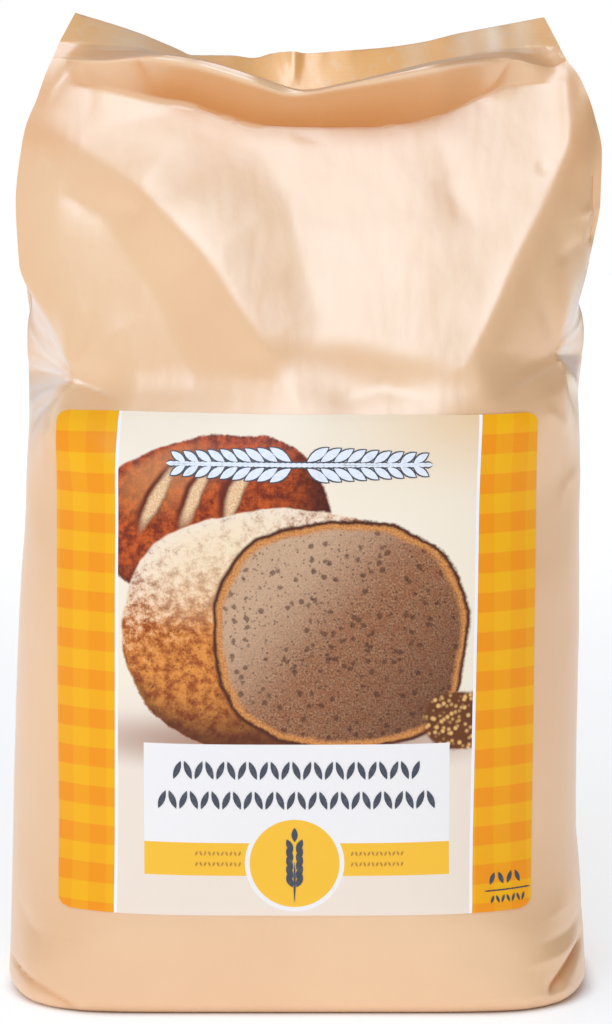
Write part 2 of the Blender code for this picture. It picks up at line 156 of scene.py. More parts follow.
def nearest(path: Points, x: Array, z: Array) -> tuple[Array, Array]:
    """Measures places against a path.

    Args:
        path: (across, height) points.
        x: places across.
        z: heights.

    Returns:
        How far along the path the nearest point is, from 0 to 1, and the distance to it, negative on the
        path's left.
    """
    corners = np.array(path, float)
    lengths = np.linalg.norm(np.diff(corners, axis=0), axis=1)
    best = np.full(np.shape(x), 1e9)
    along = np.zeros(np.shape(x))
    done = 0.0
    for start, end, length in zip(corners[:-1], corners[1:], lengths):
        way = (end - start) / length
        t = np.clip((x - start[0]) * way[0] + (z - start[1]) * way[1], 0, length)
        ahead, beside = x - start[0] - t * way[0], z - start[1] - t * way[1]
        distance = np.hypot(ahead, beside)
        nearer = distance < np.abs(best)
        best = np.where(nearer, np.where(way[0] * beside - way[1] * ahead > 0, -distance, distance), best)
        along = np.where(nearer, done + t, along)
        done += length
    return along / lengths.sum(), best


@dataclass(frozen=True)
class Fold:
    """A fold or crease along a path in a plane.

    Attributes:
        path: (across, height) points.
        depth: how far it goes in; negative stands out.
        width: half width at half depth.
        tail: share of its length at which it starts to fade.
        both: whether it also fades in at its start.
    """

    path: Points
    depth: float
    width: float
    tail: float = 0.45
    both: bool = False

    def at(self, x: Array, z: Array) -> Array:
        """Depth that the fold adds.

        Args:
            x: places across.
            z: heights.

        Returns:
            The added depths.
        """
        share, away = nearest(self.path, x, z)
        away = np.abs(away)
        fade = 1 - ease((share - self.tail) / (1 - self.tail))
        if self.both:
            fade = fade * ease(share / 0.3)
        profile = 1 / (1 + (away / self.width) ** 2) * np.clip(1.6 - away / (2.5 * self.width), 0, 1)
        return self.depth * fade * profile


@dataclass(frozen=True)
class Ridge:
    """A long ridge of taut film with straight slopes, each of its own width.

    Attributes:
        path: (across, height) points.
        rise: (share along, how far it stands out) pairs.
        left: (share along, width) pairs of the slope on the path's left.
        right: the same for its right.
        blunt: how rounded its top is, as a share of the width.
    """

    path: Points
    rise: Points
    left: Points
    right: Points
    blunt: float = 0.12

    def at(self, x: Array, z: Array) -> Array:
        """How far the film stands out.

        Args:
            x: places across.
            z: heights.

        Returns:
            The distances.
        """
        share, away = nearest(self.path, x, z)
        width = np.where(away < 0, curve(self.left, share), curve(self.right, share))
        reach = np.sqrt((away / width) ** 2 + self.blunt**2) - self.blunt
        return curve(self.rise, share) * np.clip(1 - reach, 0, 1) ** 1.35


@dataclass
class FilmBag:
    """The film bag, as a loft of closed rows from the base to the top of the heat-sealed strip.

    A field whose name starts with left has a twin for the right that is read the same way.

    Attributes:
        fine: columns that stand for one coarse column.
        gusset_columns: coarse columns across half a gusset, and so on for the middle of a panel.
        tuck_share: share of half a panel that lies over a gusset.
        base_rows: rows round the base's edge, and so on up the bag.
        base_radius: radius of the base's edge.
        foot_top: height where the foot's rows end, and so on up the bag.
        strip_height: height of the heat-sealed strip, and so on for its thickness.
        half_width: (height, half width) of the filled body.
        squareness: (height, power) of its corners, and so on for its flat sides.
        front_bulge: (height, depth) of the middle of the front, and so on for the back.
        left_front_edge: (height, across) of that edge of the panel.
        left_tuck: (height, across) of the middle of the gusset.
        nominal: ends across that the valley and ridge are read between.
        ridge: (across, height) of the crest of the front roll, and so on for its foot, the valley.
        overhang: (across, share) of how far the roll comes forward.
        roll_slope: how far it comes forward for its height.
        roll_turn: share of that by which it turns back, with the power that says how late.
        seal_height: (across, height) of the strip's foot, and so on for its depth and its top edge.
        seal_ends: ends of the strip's foot, and so on for its top edge.
        centre_facet: three points of the facet, and so on for the others of the front and back.
        facet_rounding: how round the front is between the body and the middle facet.
        left_rounding: radius at the left facet's edge, and how much more low down; below, where it changes.
        right_rounding: radius at the right facet's edge, and so on for the back's middle and sides.
        left_pinch: (across, height) of the gusset's pinch.
        left_shine: (height over the pinch, how far outside it the rays of painted sheen start).
        release_rise: how much higher the flour starts to push per millimetre inboard of a pinch.
        release_slopes: how steeply it pushes at the pinch, and a reach inboard of it.
        release_rounding: height over which the push starts.
        back_pinch: height of the back's pinches, and how steeply the flour pushes below them.
        tuck_heights: heights of the gussets' middles at the valley and the ridge.
        gusset_bulge: how far a filled gusset bulges, and the heights between which it flattens.
        rounding: radius that the body's corners are blurred by, and the levels where that ends.
        column_spacing: distance between coarse columns, for the blur.
        seam_half_width: half width of the seam down the back, and how far it stands out.
        edge_turn: reach and depth of the front's turn at its left edge.
        folds: broad folds of the front, and so on for its ridges, and for the back's.
        creases: fine creases of the front, and so on for those near its sides.
        left_wrinkles: creases of the gusset, as (depth, height) paths.
        left_flap: lower edge of the folded flap at the base's corner.
        pleats: (across at the foot, across at the top, depth) of the pleats amid the strip.
        glints: (across, half width, paleness) of painted highlight bands on the strip.
        lumps: (height, size) of the large and the small unevenness.
        plain: the smooth rows, about the film's own middle.
        grid: the creased rows, in the CAD's place, with how sharply each point is creased.
        shift: how far the rows are moved into the CAD's place.
        strip_start: number of the strip's first row.
    """

    fine: int = 4
    gusset_columns: int = 8
    centre_columns: int = 20
    tuck_share: float = 0.453
    base_rows: int = 8
    foot_rows: int = 30
    belly_rows: int = 20
    shoulder_rows: int = 46
    lean_rows: int = 54
    roll_face_rows: int = 28
    roll_top_rows: int = 18
    strip_rows: int = 12
    base_radius: float = 5.0
    foot_top: float = 30.0
    belly_top: float = 158.0
    body_top: float = 209.0
    strip_height: float = 13.0
    strip_thickness: float = 1.6
    half_width: Points = (
        (0, 94), (25, 92), (55, 89.8), (89, 88.8), (125, 88), (155, 86), (183, 88.5), (303, 93.5),
    )
    squareness: Points = ((0, 9.0), (25, 4.6), (60, 3.3), (303, 3.2))
    boxiness: Points = ((0, 2.6), (40, 2.0), (303, 2.0))
    front_bulge: Points = ((0, 50), (33, 54.5), (93, 56.5), (143, 55), (181, 51.5), (213, 48), (293, 45))
    back_bulge: Points = ((0, 49), (33, 52), (93, 54), (143, 52), (181, 49), (213, 45), (293, 41))
    left_front_edge: Points = (
        (0, -83), (25, -82), (63, -80), (153, -77.5), (166, -77.5), (178, -76.5), (186.5, -74), (193, -69),
        (203, -73.5), (214, -80), (227, -86), (247, -87.2), (265, -85.2), (278, -80.7), (287, -77.5),
        (293, -75),
    )
    right_front_edge: Points = (
        (0, 83), (25, 81), (63, 79.5), (143, 79.5), (163, 82), (181, 84), (192, 82.8), (201, 79.7),
        (209, 83.5), (217, 87), (232, 91), (247, 93.6), (262, 93.8), (272, 91.7), (284, 87.5), (294, 80),
    )
    left_back_edge: Points = (
        (0, -83), (25, -82), (63, -80), (153, -79), (193, -83), (225, -86), (264, -86), (285, -78),
        (292, -75),
    )
    right_back_edge: Points = (
        (0, 83), (25, 81), (63, 79.5), (153, 81), (193, 84), (225, 88), (264, 89), (285, 84), (293, 80),
    )
    left_tuck: Points = (
        (0, -91.8), (25, -91.0), (60, -90.3), (93, -88.8), (125, -87.3), (153, -84.5), (185, -84),
        (205, -84.5), (228, -79), (248, -67), (271, -51),
    )
    right_tuck: Points = (
        (0, 91.4), (25, 90.0), (60, 88), (93, 88), (125, 88.5), (153, 88), (185, 88),
        (205, 89.5), (228, 82), (248, 71), (271, 56),
    )
    nominal: Pair = (-83.0, 86.0)
    ridge: Points = (
        (-83, 291), (-66, 289.9), (-48, 291.4), (-32, 289.3), (-14, 284.2), (-1, 280.4), (10, 282.3),
        (28, 285.8), (52, 290), (65, 290.9), (79, 288), (86, 290),
    )
    valley: Points = (
        (-83, 283), (-64, 282), (-48, 278.9), (-35, 276.8), (-23, 272.9), (-11, 269.8), (7, 269.3),
        (22, 269.4), (42, 272.4), (57, 278.8), (65, 282), (86, 283),
    )
    overhang: Points = (
        (-71, 0), (-64, 0.42), (-52, 0.55), (-42, 0.85), (-28, 1), (40, 1), (52, 0.8), (64, 0.45), (73, 0.3),
        (80, 0),
    )
    roll_slope: float = 1.7
    roll_turn: float = 0.13
    roll_turn_power: int = 11
    seal_height: Points = (
        (-74, 295.5), (-50, 294), (-40, 291), (-31, 288), (-15, 283), (0, 280.5), (15, 282.3),
        (30, 286), (51, 291), (66, 293.6), (81, 294.6),
    )
    seal_depth: Points = ((-74, 3), (-45, 3.5), (-20, 6.5), (0, 8), (25, 6.5), (50, 3.5), (81, 3))
    strip_top: Points = (
        (-70, 304.5), (-51, 298.8), (-39, 294), (-33, 291.6), (-21, 291.5), (-14, 290.7), (-8, 292.1),
        (-2, 292.7), (3, 292.1), (10, 292.6), (28, 294), (40, 295.8), (50, 298.2), (65, 300.9), (77, 303),
    )
    seal_ends: Pair = (-74.0, 81.0)
    strip_ends: Pair = (-69.8, 77.3)
    centre_facet: Points = ((0, -50, 181), (-60, -14, 260), (60, -14, 260))
    left_facet: Points = ((-75.3, -3.4, 277), (-12, -35.5, 202.5), (-69, -25.5, 193))
    right_facet: Points = ((84.5, -14, 260), (53.8, -43.9, 194.5), (79.7, -22, 201))
    back_centre: Points = ((0, 47, 188), (-60, 15.5, 269), (60, 15.5, 269))
    back_left: Points = ((-77, 10.5, 277), (-40, 36, 215), (-84, 22, 198))
    back_right: Points = ((80, 10.5, 277), (42, 36, 215), (86, 22, 198))
    facet_rounding: float = 8.0
    left_rounding: Pair = (5.0, 9.0)
    left_rounding_heights: Pair = (190.0, 18.0)
    right_rounding: float = 4.5
    back_rounding: Pair = (16.0, 7.0)
    left_pinch: Pair = (-69.0, 194.0)
    right_pinch: Pair = (79.7, 201.0)
    left_shine: Points = ((-20, 8.4), (-13.7, 7.8), (-7.5, 5.9), (0, 0.6), (30, 15))
    right_shine: Points = (
        (-20, 5.9), (-13.7, 5.3), (-6.2, 3.4), (0, 0.6), (3.7, 0.8), (21.8, 5.9), (26, 8.4),
    )
    release_rise: float = 0.12
    release_slopes: Pair = (1.15, 0.6)
    release_reach: float = 22.0
    release_rounding: float = 9.0
    back_pinch: float = 198.0
    back_release: float = 0.5
    tuck_heights: Pair = (263.0, 273.0)
    gusset_bulge: float = 3.2
    gusset_flattens: Pair = (153.0, 203.0)
    rounding: float = 6.5
    rounding_ends: Pair = (0.72, 0.92)
    column_spacing: float = 4.9
    seam_half_width: float = 5.0
    seam_relief: float = 0.7
    edge_turn: Pair = (15.0, 2.6)
    folds: tuple[Fold, ...] = (
        Fold(((-71, 194), (-61, 190), (-49, 188)), 3.5, 5.0),
        Fold(((81, 201), (67, 193), (55, 188)), 3.5, 5.5),
        Fold(((-48, 292), (-42, 284), (-35, 277)), -2.0, 4.0),
        Fold(((65, 292), (61, 285), (56, 277)), -2.0, 4.0),
        Fold(((83, 287), (84.5, 260), (78, 246)), -1.0, 4.0),
        Fold(((45, 261), (49, 249), (56, 235)), 0.5, 4.5),
        Fold(((-66, 244), (-55, 243), (-47, 240)), 0.6, 4.0),
        Fold(((6, 186), (26, 191.5), (44, 188)), 0.8, 4.0, 0.6, True),
    )
    ridges: tuple[Ridge, ...] = (
        Ridge(
            ((-83, 271), (-68, 264), (-48, 251), (-28, 231), (-11, 206), (4, 180)),
            ((0, 0.2), (0.15, 1.2), (0.32, 4.6), (0.45, 6.2), (0.7, 5.0), (0.88, 2.4), (1, 0.8)),
            ((0, 6), (0.15, 10), (0.3, 26), (0.45, 31), (0.6, 25), (0.77, 19), (1, 15)),
            ((0, 9), (0.3, 14), (0.5, 18), (0.75, 22), (1, 24)),
            0.09,
        ),
        Ridge(
            ((45, 262), (41, 235), (33, 205)),
            ((0, 0.1), (0.5, 0.5), (1, 0.2)), ((0, 14), (1, 14)), ((0, 20), (1, 20)), 0.5,
        ),
        Ridge(
            ((-90, 8), (-74, 19), (-52, 27), (-24, 30)),
            ((0, 0.9), (0.4, 0.9), (1, 0)), ((0, 6), (1, 12)), ((0, 7), (1, 10)), 0.3,
        ),
        Ridge(
            ((90, 14), (76, 22), (56, 28), (30, 30)),
            ((0, 1.0), (0.4, 0.8), (1, 0)), ((0, 7), (1, 10)), ((0, 6), (1, 12)), 0.3,
        ),
        Ridge(
            ((-84, 60), (-81, 40), (-85, 22)),
            ((0, 0), (0.5, 0.6), (1, 0.2)), ((0, 5), (1, 5)), ((0, 5), (1, 5)), 0.4,
        ),
    )
    back_ridges: tuple[Ridge, ...] = (
        Ridge(
            ((80, 268), (52, 244), (30, 216), (16, 190)),
            ((0, 0.5), (0.4, 2.6), (0.8, 2.2), (1, 0.4)),
            ((0, 10), (1, 16)), ((0, 12), (0.5, 22), (1, 14)), 0.16,
        ),
        Ridge(
            ((-78, 262), (-50, 236), (-30, 206), (-22, 188)),
            ((0, 0.5), (0.4, 2.2), (0.8, 1.8), (1, 0.3)),
            ((0, 12), (0.5, 22), (1, 14)), ((0, 10), (1, 16)), 0.16,
        ),
        Ridge(
            ((-88, 12), (-66, 24), (-34, 30)),
            ((0, 1.0), (0.4, 0.9), (1, 0)), ((0, 8), (1, 12)), ((0, 8), (1, 12)), 0.3,
        ),
        Ridge(
            ((88, 16), (70, 27), (40, 34)),
            ((0, 1.0), (0.4, 0.8), (1, 0)), ((0, 8), (1, 12)), ((0, 8), (1, 12)), 0.3,
        ),
    )
    back_folds: tuple[Fold, ...] = (
        Fold(((-76, 198), (-58, 192), (-36, 190)), 2.0, 5.0),
        Fold(((80, 200), (64, 193), (44, 189)), 2.2, 5.5),
        Fold(((-70, 262), (-58, 240), (-54, 220)), 0.7, 3.0, 0.5, True),
        Fold(((66, 256), (62, 236), (60, 216)), 0.7, 3.2, 0.5, True),
        Fold(((-30, 262), (-12, 256), (8, 258)), 0.6, 3.5, 0.5, True),
    )
    creases: tuple[Fold, ...] = (
        Fold(((-68, 290), (-75, 281), (-80.5, 270)), -0.8, 2.0),
        Fold(((-67, 290), (-64, 278), (-66, 268)), 0.5, 2.2, 0.4),
        Fold(((-48, 291), (-44, 283), (-38, 277)), -0.5, 1.0, 0.6),
        Fold(((65, 291), (61, 284), (56, 278)), -0.5, 1.0, 0.6),
        Fold(((-79, 262), (-72, 257)), 0.35, 1.5, 0.5, True),
        Fold(((-74, 250), (-66, 246), (-60, 247)), 0.4, 1.6, 0.5, True),
        Fold(((-53, 246), (-47, 241)), 0.45, 2.0, 0.5, True),
        Fold(
            ((82.5, 283), (83, 265), (77, 248), (67, 232), (58, 212), (51, 199), (38, 190)), -0.25, 1.3, 0.7,
        ),
        Fold(((43, 256), (48, 247), (53, 237)), 0.3, 3.4, 0.4, True),
        Fold(((73, 258), (78, 256)), 0.45, 0.8, 0.5, True),
        Fold(((86, 242), (93, 245)), -0.6, 0.8, 0.8, True),
        Fold(((80, 228), (88, 236)), 0.5, 1.2, 0.6, True),
        Fold(((7.7, 270), (7.7, 277)), -0.4, 0.7, 0.5),
        Fold(((-3, 267.3), (4, 266.2), (10, 264)), 0.3, 1.2, 0.5, True),
        Fold(((-66, 192), (-53, 186.5)), 0.7, 0.9, 0.5),
        Fold(((83, 198.5), (70, 193), (56, 187.5)), 0.7, 0.9, 0.5),
        Fold(((-70, 196), (-60, 205), (-46, 214)), -0.4, 2.0, 0.5),
        Fold(((-70, 196), (-64, 212), (-62, 226)), 0.4, 2.0, 0.4),
        Fold(((80, 203), (76, 214), (75, 226)), 0.5, 1.8, 0.4),
        Fold(((-78, 175), (-68, 187)), -0.5, 1.6, 0.6, True),
        Fold(((84, 176), (74, 186)), -0.5, 1.6, 0.6, True),
    )
    left_wrinkles: tuple[Fold, ...] = (
        Fold(((-22, 193), (-12, 214), (-6, 232)), 1.1, 1.6, 0.3),
        Fold(((-22, 193), (-8, 203), (2, 212)), -0.9, 1.5, 0.3),
        Fold(((-22, 192), (-8, 194), (4, 197)), 1.0, 1.4, 0.3),
        Fold(((-23, 191), (-12, 185), (0, 182)), -0.8, 1.6, 0.3),
        Fold(((-25, 189), (-18, 180), (-12, 170)), 0.8, 1.8, 0.3),
        Fold(((1, 180), (0, 120), (0, 14)), 0.7, 1.6, 0.9),
        Fold(((22, 196), (10, 206), (2, 222)), 1.0, 1.8, 0.3),
        Fold(((24, 192), (8, 190), (-2, 186)), 0.9, 1.8, 0.3),
    )
    right_wrinkles: tuple[Fold, ...] = (
        Fold(((-22, 201), (-13, 218), (-7, 234)), 1.1, 1.6, 0.3),
        Fold(((-22, 201), (-9, 207), (3, 214)), -0.9, 1.5, 0.3),
        Fold(((-22, 200), (-8, 199), (4, 199)), 1.0, 1.4, 0.3),
        Fold(((-23, 199), (-13, 191), (0, 186)), -0.9, 1.6, 0.3),
        Fold(((-24, 198), (-17, 186), (-10, 176)), 0.8, 1.8, 0.3),
        Fold(((1, 182), (0, 120), (0, 14)), 0.7, 1.6, 0.9),
        Fold(((22, 200), (10, 210), (2, 226)), 1.0, 1.8, 0.3),
        Fold(((24, 196), (8, 193), (-2, 188)), 0.9, 1.8, 0.3),
    )
    side_wrinkles: tuple[Fold, ...] = (
        Fold(((-90, 58), (-84, 50), (-77, 46)), 0.4, 1.4, 0.5, True),
        Fold(((-91, 46), (-83, 40), (-76, 38)), -0.35, 1.5, 0.5, True),
        Fold(((-90, 33), (-83, 24), (-74, 20)), 0.4, 1.7, 0.5, True),
        Fold(((-86, 120), (-80, 108), (-76, 92)), 0.35, 1.9, 0.5, True),
        Fold(((-87, 150), (-80, 146), (-75, 135)), -0.35, 1.8, 0.5, True),
        Fold(((90, 52), (84, 44), (76, 40)), 0.4, 1.4, 0.5, True),
        Fold(((91, 36), (84, 30), (75, 27)), -0.4, 1.5, 0.5, True),
        Fold(((92, 26), (84, 22), (72, 20)), 0.6, 1.6, 0.5, True),
        Fold(((91, 20), (83, 16.5), (68, 14)), -0.6, 1.5, 0.5, True),
        Fold(((88, 130), (82, 118), (78, 104)), 0.35, 1.9, 0.5, True),
        Fold(((88, 165), (83, 160), (77, 150)), -0.35, 1.8, 0.5, True),
    )
    left_flap: Points = ((-90.5, 11), (-78, 6.6), (-67, 0.8))
    right_flap: Points = ((92, 19), (84, 11.5), (76, 4.0))
    pleats: Points = ((-1.8, -6.5, 0.25), (-1.4, -3.4, -0.3), (-1.0, -0.9, 0.3), (-0.6, 2.2, -0.25))
    glints: Points = ((61, 3.0, 0.75), (-52, 9.0, 0.3))
    lumps: Points = ((0.55, 38.0), (0.16, 11.0))
    plain: Array = field(init=False, repr=False)
    grid: Array = field(init=False, repr=False)
    crease: Array = field(init=False, repr=False)
    shift: Array = field(init=False, repr=False)
    strip_start: int = field(init=False)

    def __post_init__(self) -> None:
        """Builds the rows, places them in the CAD box and adds the creases."""
        rows = self.rows()
        low, high = rows.min((0, 1)), rows.max((0, 1))
        cad_low, cad_high = (np.array(v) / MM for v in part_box(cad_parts["bag"].name))
        self.shift = (cad_low + cad_high) / 2 - (low + high) / 2
        self.shift[2] = 0
        self.plain = rows
        creased, self.crease = self.creased(rows)
        self.grid = creased + self.shift

    @property
    def panel(self) -> int:
        """Segments across the front or back panel."""
        return (2 * self.gusset_columns + self.centre_columns) * self.fine

    @property
    def gusset(self) -> int:
        """Segments across half a gusset."""
        return self.gusset_columns * self.fine

    @property
    def crest_row(self) -> int:
        """Number of the first row past the crest of the front roll."""
        return self.strip_start - self.roll_top_rows

    def release(self, x: Array, z: Array, pinch: Pair) -> Array:
        """How far the flour pushes a side facet out below its pinch.

        Args:
            x: places across.
            z: heights.
            pinch: (across, height) of the pinch.

        Returns:
            The depths to take off the facet.
        """
        inboard = np.abs(pinch[0]) - np.abs(x)
        drop = np.clip(pinch[1] + self.release_rise * np.clip(inboard, 0, None) - z, 0, None)
        r = self.release_rounding
        soft = np.where(drop < r, drop**2 / (2 * r), drop - r / 2)
        steep, gentle = self.release_slopes
        return (steep + (gentle - steep) * ease(inboard / self.release_reach)) * soft

    def belly(self, x: Array, z: Array, bulge: Points) -> Array:
        """Depth, as a positive number, of the filled, rounded part of a panel with a bulge table."""
        share = np.clip(np.abs(x) / curve(self.half_width, z), 0, 0.995)
        return curve(bulge, z) * (1 - share ** curve(self.squareness, z)) ** (1 / curve(self.boxiness, z))

    def front_depth(self, x: Array, z: Array) -> Array:
        """Depth of the front panel.

        Args:
            x: places across.
            z: heights.

        Returns:
            The depths, negative towards the viewer.
        """
        left = facet(self.left_facet, x, z) - self.release(x, z, self.left_pinch)
        right = facet(self.right_facet, x, z) - self.release(x, z, self.right_pinch)
        centre = facet(self.centre_facet, x, z)
        high_radius, more = self.left_rounding
        start, span = self.left_rounding_heights
        depth = round_max(-self.belly(x, z, self.front_bulge), centre, self.facet_rounding)
        depth = round_max(depth, left, high_radius + more * (1 - ease((z - start) / span)))
        depth = round_max(depth, right, self.right_rounding)
        low = curve(self.valley, x)
        tall = np.maximum(curve(self.ridge, x) - low, 1)
        over = np.clip((z - low) / tall, 0, 1)
        depth = depth - self.roll_slope * curve(self.overhang, x) * tall * (
            over - self.roll_turn * over**self.roll_turn_power
        )
        for fold in self.folds:
            depth = depth + fold.at(x, z)
        for ridge in self.ridges:
            depth = depth - ridge.at(x, z)
        edge = x - curve(self.left_front_edge, z)
        turn = np.clip(1 - edge / self.edge_turn[0], 0, 1) ** 2 * self.edge_turn[1]
        return depth + turn * ease((z - 195) / 20) * (1 - ease((z - 255) / 20))

    def back_depth(self, x: Array, z: Array) -> Array:
        """Depth of the back panel, with its seam.

        Args:
            x: places across.
            z: heights.

        Returns:
            The depths.
        """
        middle_radius, side_radius = self.back_rounding
        depth = round_max(-self.belly(x, z, self.back_bulge), -facet(self.back_centre, x, z), middle_radius)
        drop = self.back_release * np.clip(self.back_pinch - z, 0, None)
        left, right = -facet(self.back_left, x, z) - drop, -facet(self.back_right, x, z) - drop
        depth = -round_max(round_max(depth, left, side_radius), right, side_radius)
        for ridge in self.back_ridges:
            depth = depth + ridge.at(x, z)
        for fold in self.back_folds:
            depth = depth - fold.at(x, z)
        return depth + self.seam_relief * (1 - ease((np.abs(x) - self.seam_half_width) / 1.0))

    def places(self) -> Array:
        """Places of the columns across a panel, from -1 to 1."""
        inner = 1 - self.tuck_share
        centre = spread(-inner, inner, self.centre_columns * self.fine)
        return np.array([-1.0] + spread(-1, -inner, self.gusset) + centre + spread(inner, 1, self.gusset))

    def across(self, ends: tuple[Array | float, Array | float]) -> Array:
        """Places of a panel's columns between its left and right ends."""
        return ends[0] + (ends[1] - ends[0]) * (self.places() + 1) / 2

    def height(self, level: float, valley: Array | float, top: Array | float) -> Array:
        """Height of a row.

        Args:
            level: 0 to 1 up to the body's top, 1 to 2 up to the valley, 2 to 3 up to the crest.
            valley: height of the valley at each column.
            top: height of the crest at each column.

        Returns:
            The heights.
        """
        if level <= 1:
            return self.base_radius + (self.body_top - self.base_radius) * level + 0 * valley
        if level <= 2:
            return self.body_top + (valley - self.body_top) * (level - 1)
        return valley + (top - valley) * (level - 2)

    def levels(self) -> list[float]:
        """Levels of the rows between the base and the crest.

        Returns:
            The levels in rising order.
        """
        span = self.body_top - self.base_radius
        foot, belly = (self.foot_top - self.base_radius) / span, (self.belly_top - self.base_radius) / span
        steps = (
            (0, foot, self.foot_rows), (foot, belly, self.belly_rows), (belly, 1, self.shoulder_rows),
            (1, 2, self.lean_rows), (2, 3, self.roll_face_rows),
        )
        return [0.0] + [level for low, high, count in steps for level in spread(low, high, count)]

    def loop(self, front: Array, back: Array, halves: Sequence[Array]) -> Array:
        """Joins the stretches of a row.

        Args:
            front: points across the front, left to right.
            back: points across the back, right to left.
            halves: right front, right back, left front and left back gusset halves, each from its edge in.

        Returns:
            The closed row.
        """
        right_front, right_back, left_front, left_back = halves
        right = [right_front[1:], right_back[::-1][1:]]
        return np.concatenate([front, *right, back[1:], left_back[1:], left_front[::-1][1:-1]])

    def body_row(self, level: float) -> Array:
        """One closed row of the body.

        Args:
            level: its level.

        Returns:
            Its points.
        """
        nominal = self.across(self.nominal)
        z = self.height(level, curve(self.valley, nominal), curve(self.ridge, nominal))
        x = self.across((curve(self.left_front_edge, z), curve(self.right_front_edge, z)))
        front = np.stack([x, self.front_depth(x, z), z], 1)
        back_top = curve(self.seal_height, nominal * 0.9) - 9
        z = self.height(level, back_top - 8, back_top)
        x = self.across((curve(self.left_back_edge, z), curve(self.right_back_edge, z)))
        back = np.stack([x, self.back_depth(x, z), z], 1)[::-1]
        share = np.arange(self.gusset + 1)[:, None] / self.gusset
        tuck_height = float(self.height(level, *self.tuck_heights))
        low, high = self.gusset_flattens
        bulge = self.gusset_bulge * (1 - ease((tuck_height - low) / (high - low)))
        halves = []
        for side, table in ((Side.RIGHT, self.right_tuck), (Side.LEFT, self.left_tuck)):
            edges = (front[-1], back[0]) if side is Side.RIGHT else (front[0], back[-1])
            tuck = np.array([curve(table, tuck_height), (edges[0][1] + edges[1][1]) / 2, tuck_height])
            for edge in edges:
                half = edge + (tuck - edge) * share
                half[:, 0] += side.value * bulge * 4 * share[:, 0] * (1 - share[:, 0])
                halves.append(half)
        return self.loop(front, back, halves)

    def strip_row(self, share: float) -> Array:
        """One closed row of the heat-sealed strip.

        Args:
            share: 0 at its foot and 1 at its top edge.

        Returns:
            Its points.
        """
        foot_x, top_x = self.across(self.seal_ends), self.across(self.strip_ends)
        foot_z, top_z = curve(self.seal_height, foot_x), curve(self.strip_top, top_x)
        foot_y = curve(self.seal_depth, foot_x)
        lean = np.sqrt(np.clip(self.strip_height**2 - (top_z - foot_z) ** 2, 4, None))
        wave = 1.3 * np.sin((foot_x - 34) / 2.7) * ease((foot_x - 30) / 12) * (1 - ease((foot_x - 66) / 8))
        wave += 0.3 * np.sin(foot_x / 1.55 + 1.3 * np.sin(foot_x / 7)) * (1 - ease((np.abs(foot_x) - 62) / 6))
        foot = np.stack([foot_x, foot_y, foot_z], 1)
        front = foot + np.stack([top_x - foot_x, lean + wave, top_z - foot_z], 1) * share
        inward = np.clip(1 - (1 - np.abs(self.places())) / self.tuck_share, 0, 1)[:, None]
        wall = np.array([0, self.strip_thickness / 2, 0]) * (1 - inward)
        inside = front + wall
        gap = self.strip_thickness * (0.25 + 1.1 * inward * share)
        back_inside = inside + gap * inward * np.array([0, 1.0, 0.15])
        back = (back_inside + wall)[::-1]
        n = self.gusset + 1
        halves = (inside[::-1][:n], back_inside[::-1][:n], inside[:n], back_inside[:n])
        return self.loop(front, back, halves)

    def rows(self) -> Array:
        """All rows of the film.

        Returns:
            Rows by columns by 3, from the base's flat outline to the strip's top edge.
        """
        body = []
        passes = round(2 * (self.rounding * self.fine / self.column_spacing) ** 2)
        first, last = self.rounding_ends
        for level in self.levels():
            row = self.body_row(level)
            soft = 1 - ease((level - first) / (last - first))
            if soft > 0:
                blurred = row
                for _ in range(passes):
                    blurred = (np.roll(blurred, 1, 0) + 2 * blurred + np.roll(blurred, -1, 0)) / 4
                row = soft * blurred + (1 - soft) * row
            body.append(row)
        base = []
        for turn in np.arange(self.base_rows) / self.base_rows * math.pi / 2:
            inset = self.base_radius * (1 - math.sin(turn))
            row = body[0].copy()
            row[:, 0] *= 1 - inset / self.half_width[0][1]
            row[:, 1] *= 1 - inset / self.front_bulge[0][1]
            row[:, 2] = self.base_radius * (1 - math.cos(turn))
            base.append(row)
        seal, crest = self.strip_row(0.0), body[-1]
        control = crest + (seal - crest) * 0.3
        control[:, 2] = crest[:, 2] + 1.2
        roll = [
            (1 - w) ** 2 * crest + 2 * w * (1 - w) * control + w * w * seal
            for w in spread(0, 1, self.roll_top_rows)
        ]
        strip = [self.strip_row(share) for share in spread(0, 1, self.strip_rows)]
        self.strip_start = len(base) + len(body) + len(roll) - 1
        return np.array(base + body + roll + strip)

    def painted_shade_and_seal_tone(self, rows: Array) -> Array:
        """How deep painted shade makes the film: under the roll, in its corners, on its top and along the
        flaps; on the seal, partly the double film's own colour.

        Args:
            rows: the smooth rows.

        Returns:
            Values from 0 to 1.
        """
        x, y, z = np.moveaxis(rows, 2, 0)
        row = np.arange(rows.shape[0])[:, None]
        front = np.arange(rows.shape[1]) <= self.panel
        low, high = curve(self.valley, x), curve(self.ridge, x)
        over = (z - low) / np.maximum(high - low, 1)
        # Painted shade under the roll, where the film faces down.
        hollow = curve(self.overhang, x) * ease((over + 0.1) / 0.12) * (1 - ease((over - 0.78) / 0.16))
        hollow = hollow * (1 - 0.45 * ease((over - 0.1) / 0.6))
        hollow = hollow * (1 - 0.35 * ease((x - 20) / 25))
        # Painted shade in the top corners beside the roll.
        left = 0.4 * ease((-58 - x) / 12) * ease((z - 256) / 14)
        right = 0.3 * ease((x - 76) / 8) * ease((z - 240) / 20)
        hollow = hollow + (left + right) * (1 - 0.5 * ease((z - 284) / 6))
        # Painted shade on the roll's top, from just below the crest up to the seal.
        roll_top = 0.45 * (row >= self.crest_row - 1) * (row < self.strip_start) * front
        # On the seal: the double film's own deeper colour, with painted shade deepest in the middle.
        seal = (1 - 0.45 * ease((np.abs(x) - 30) / 30)) * (row >= self.strip_start)
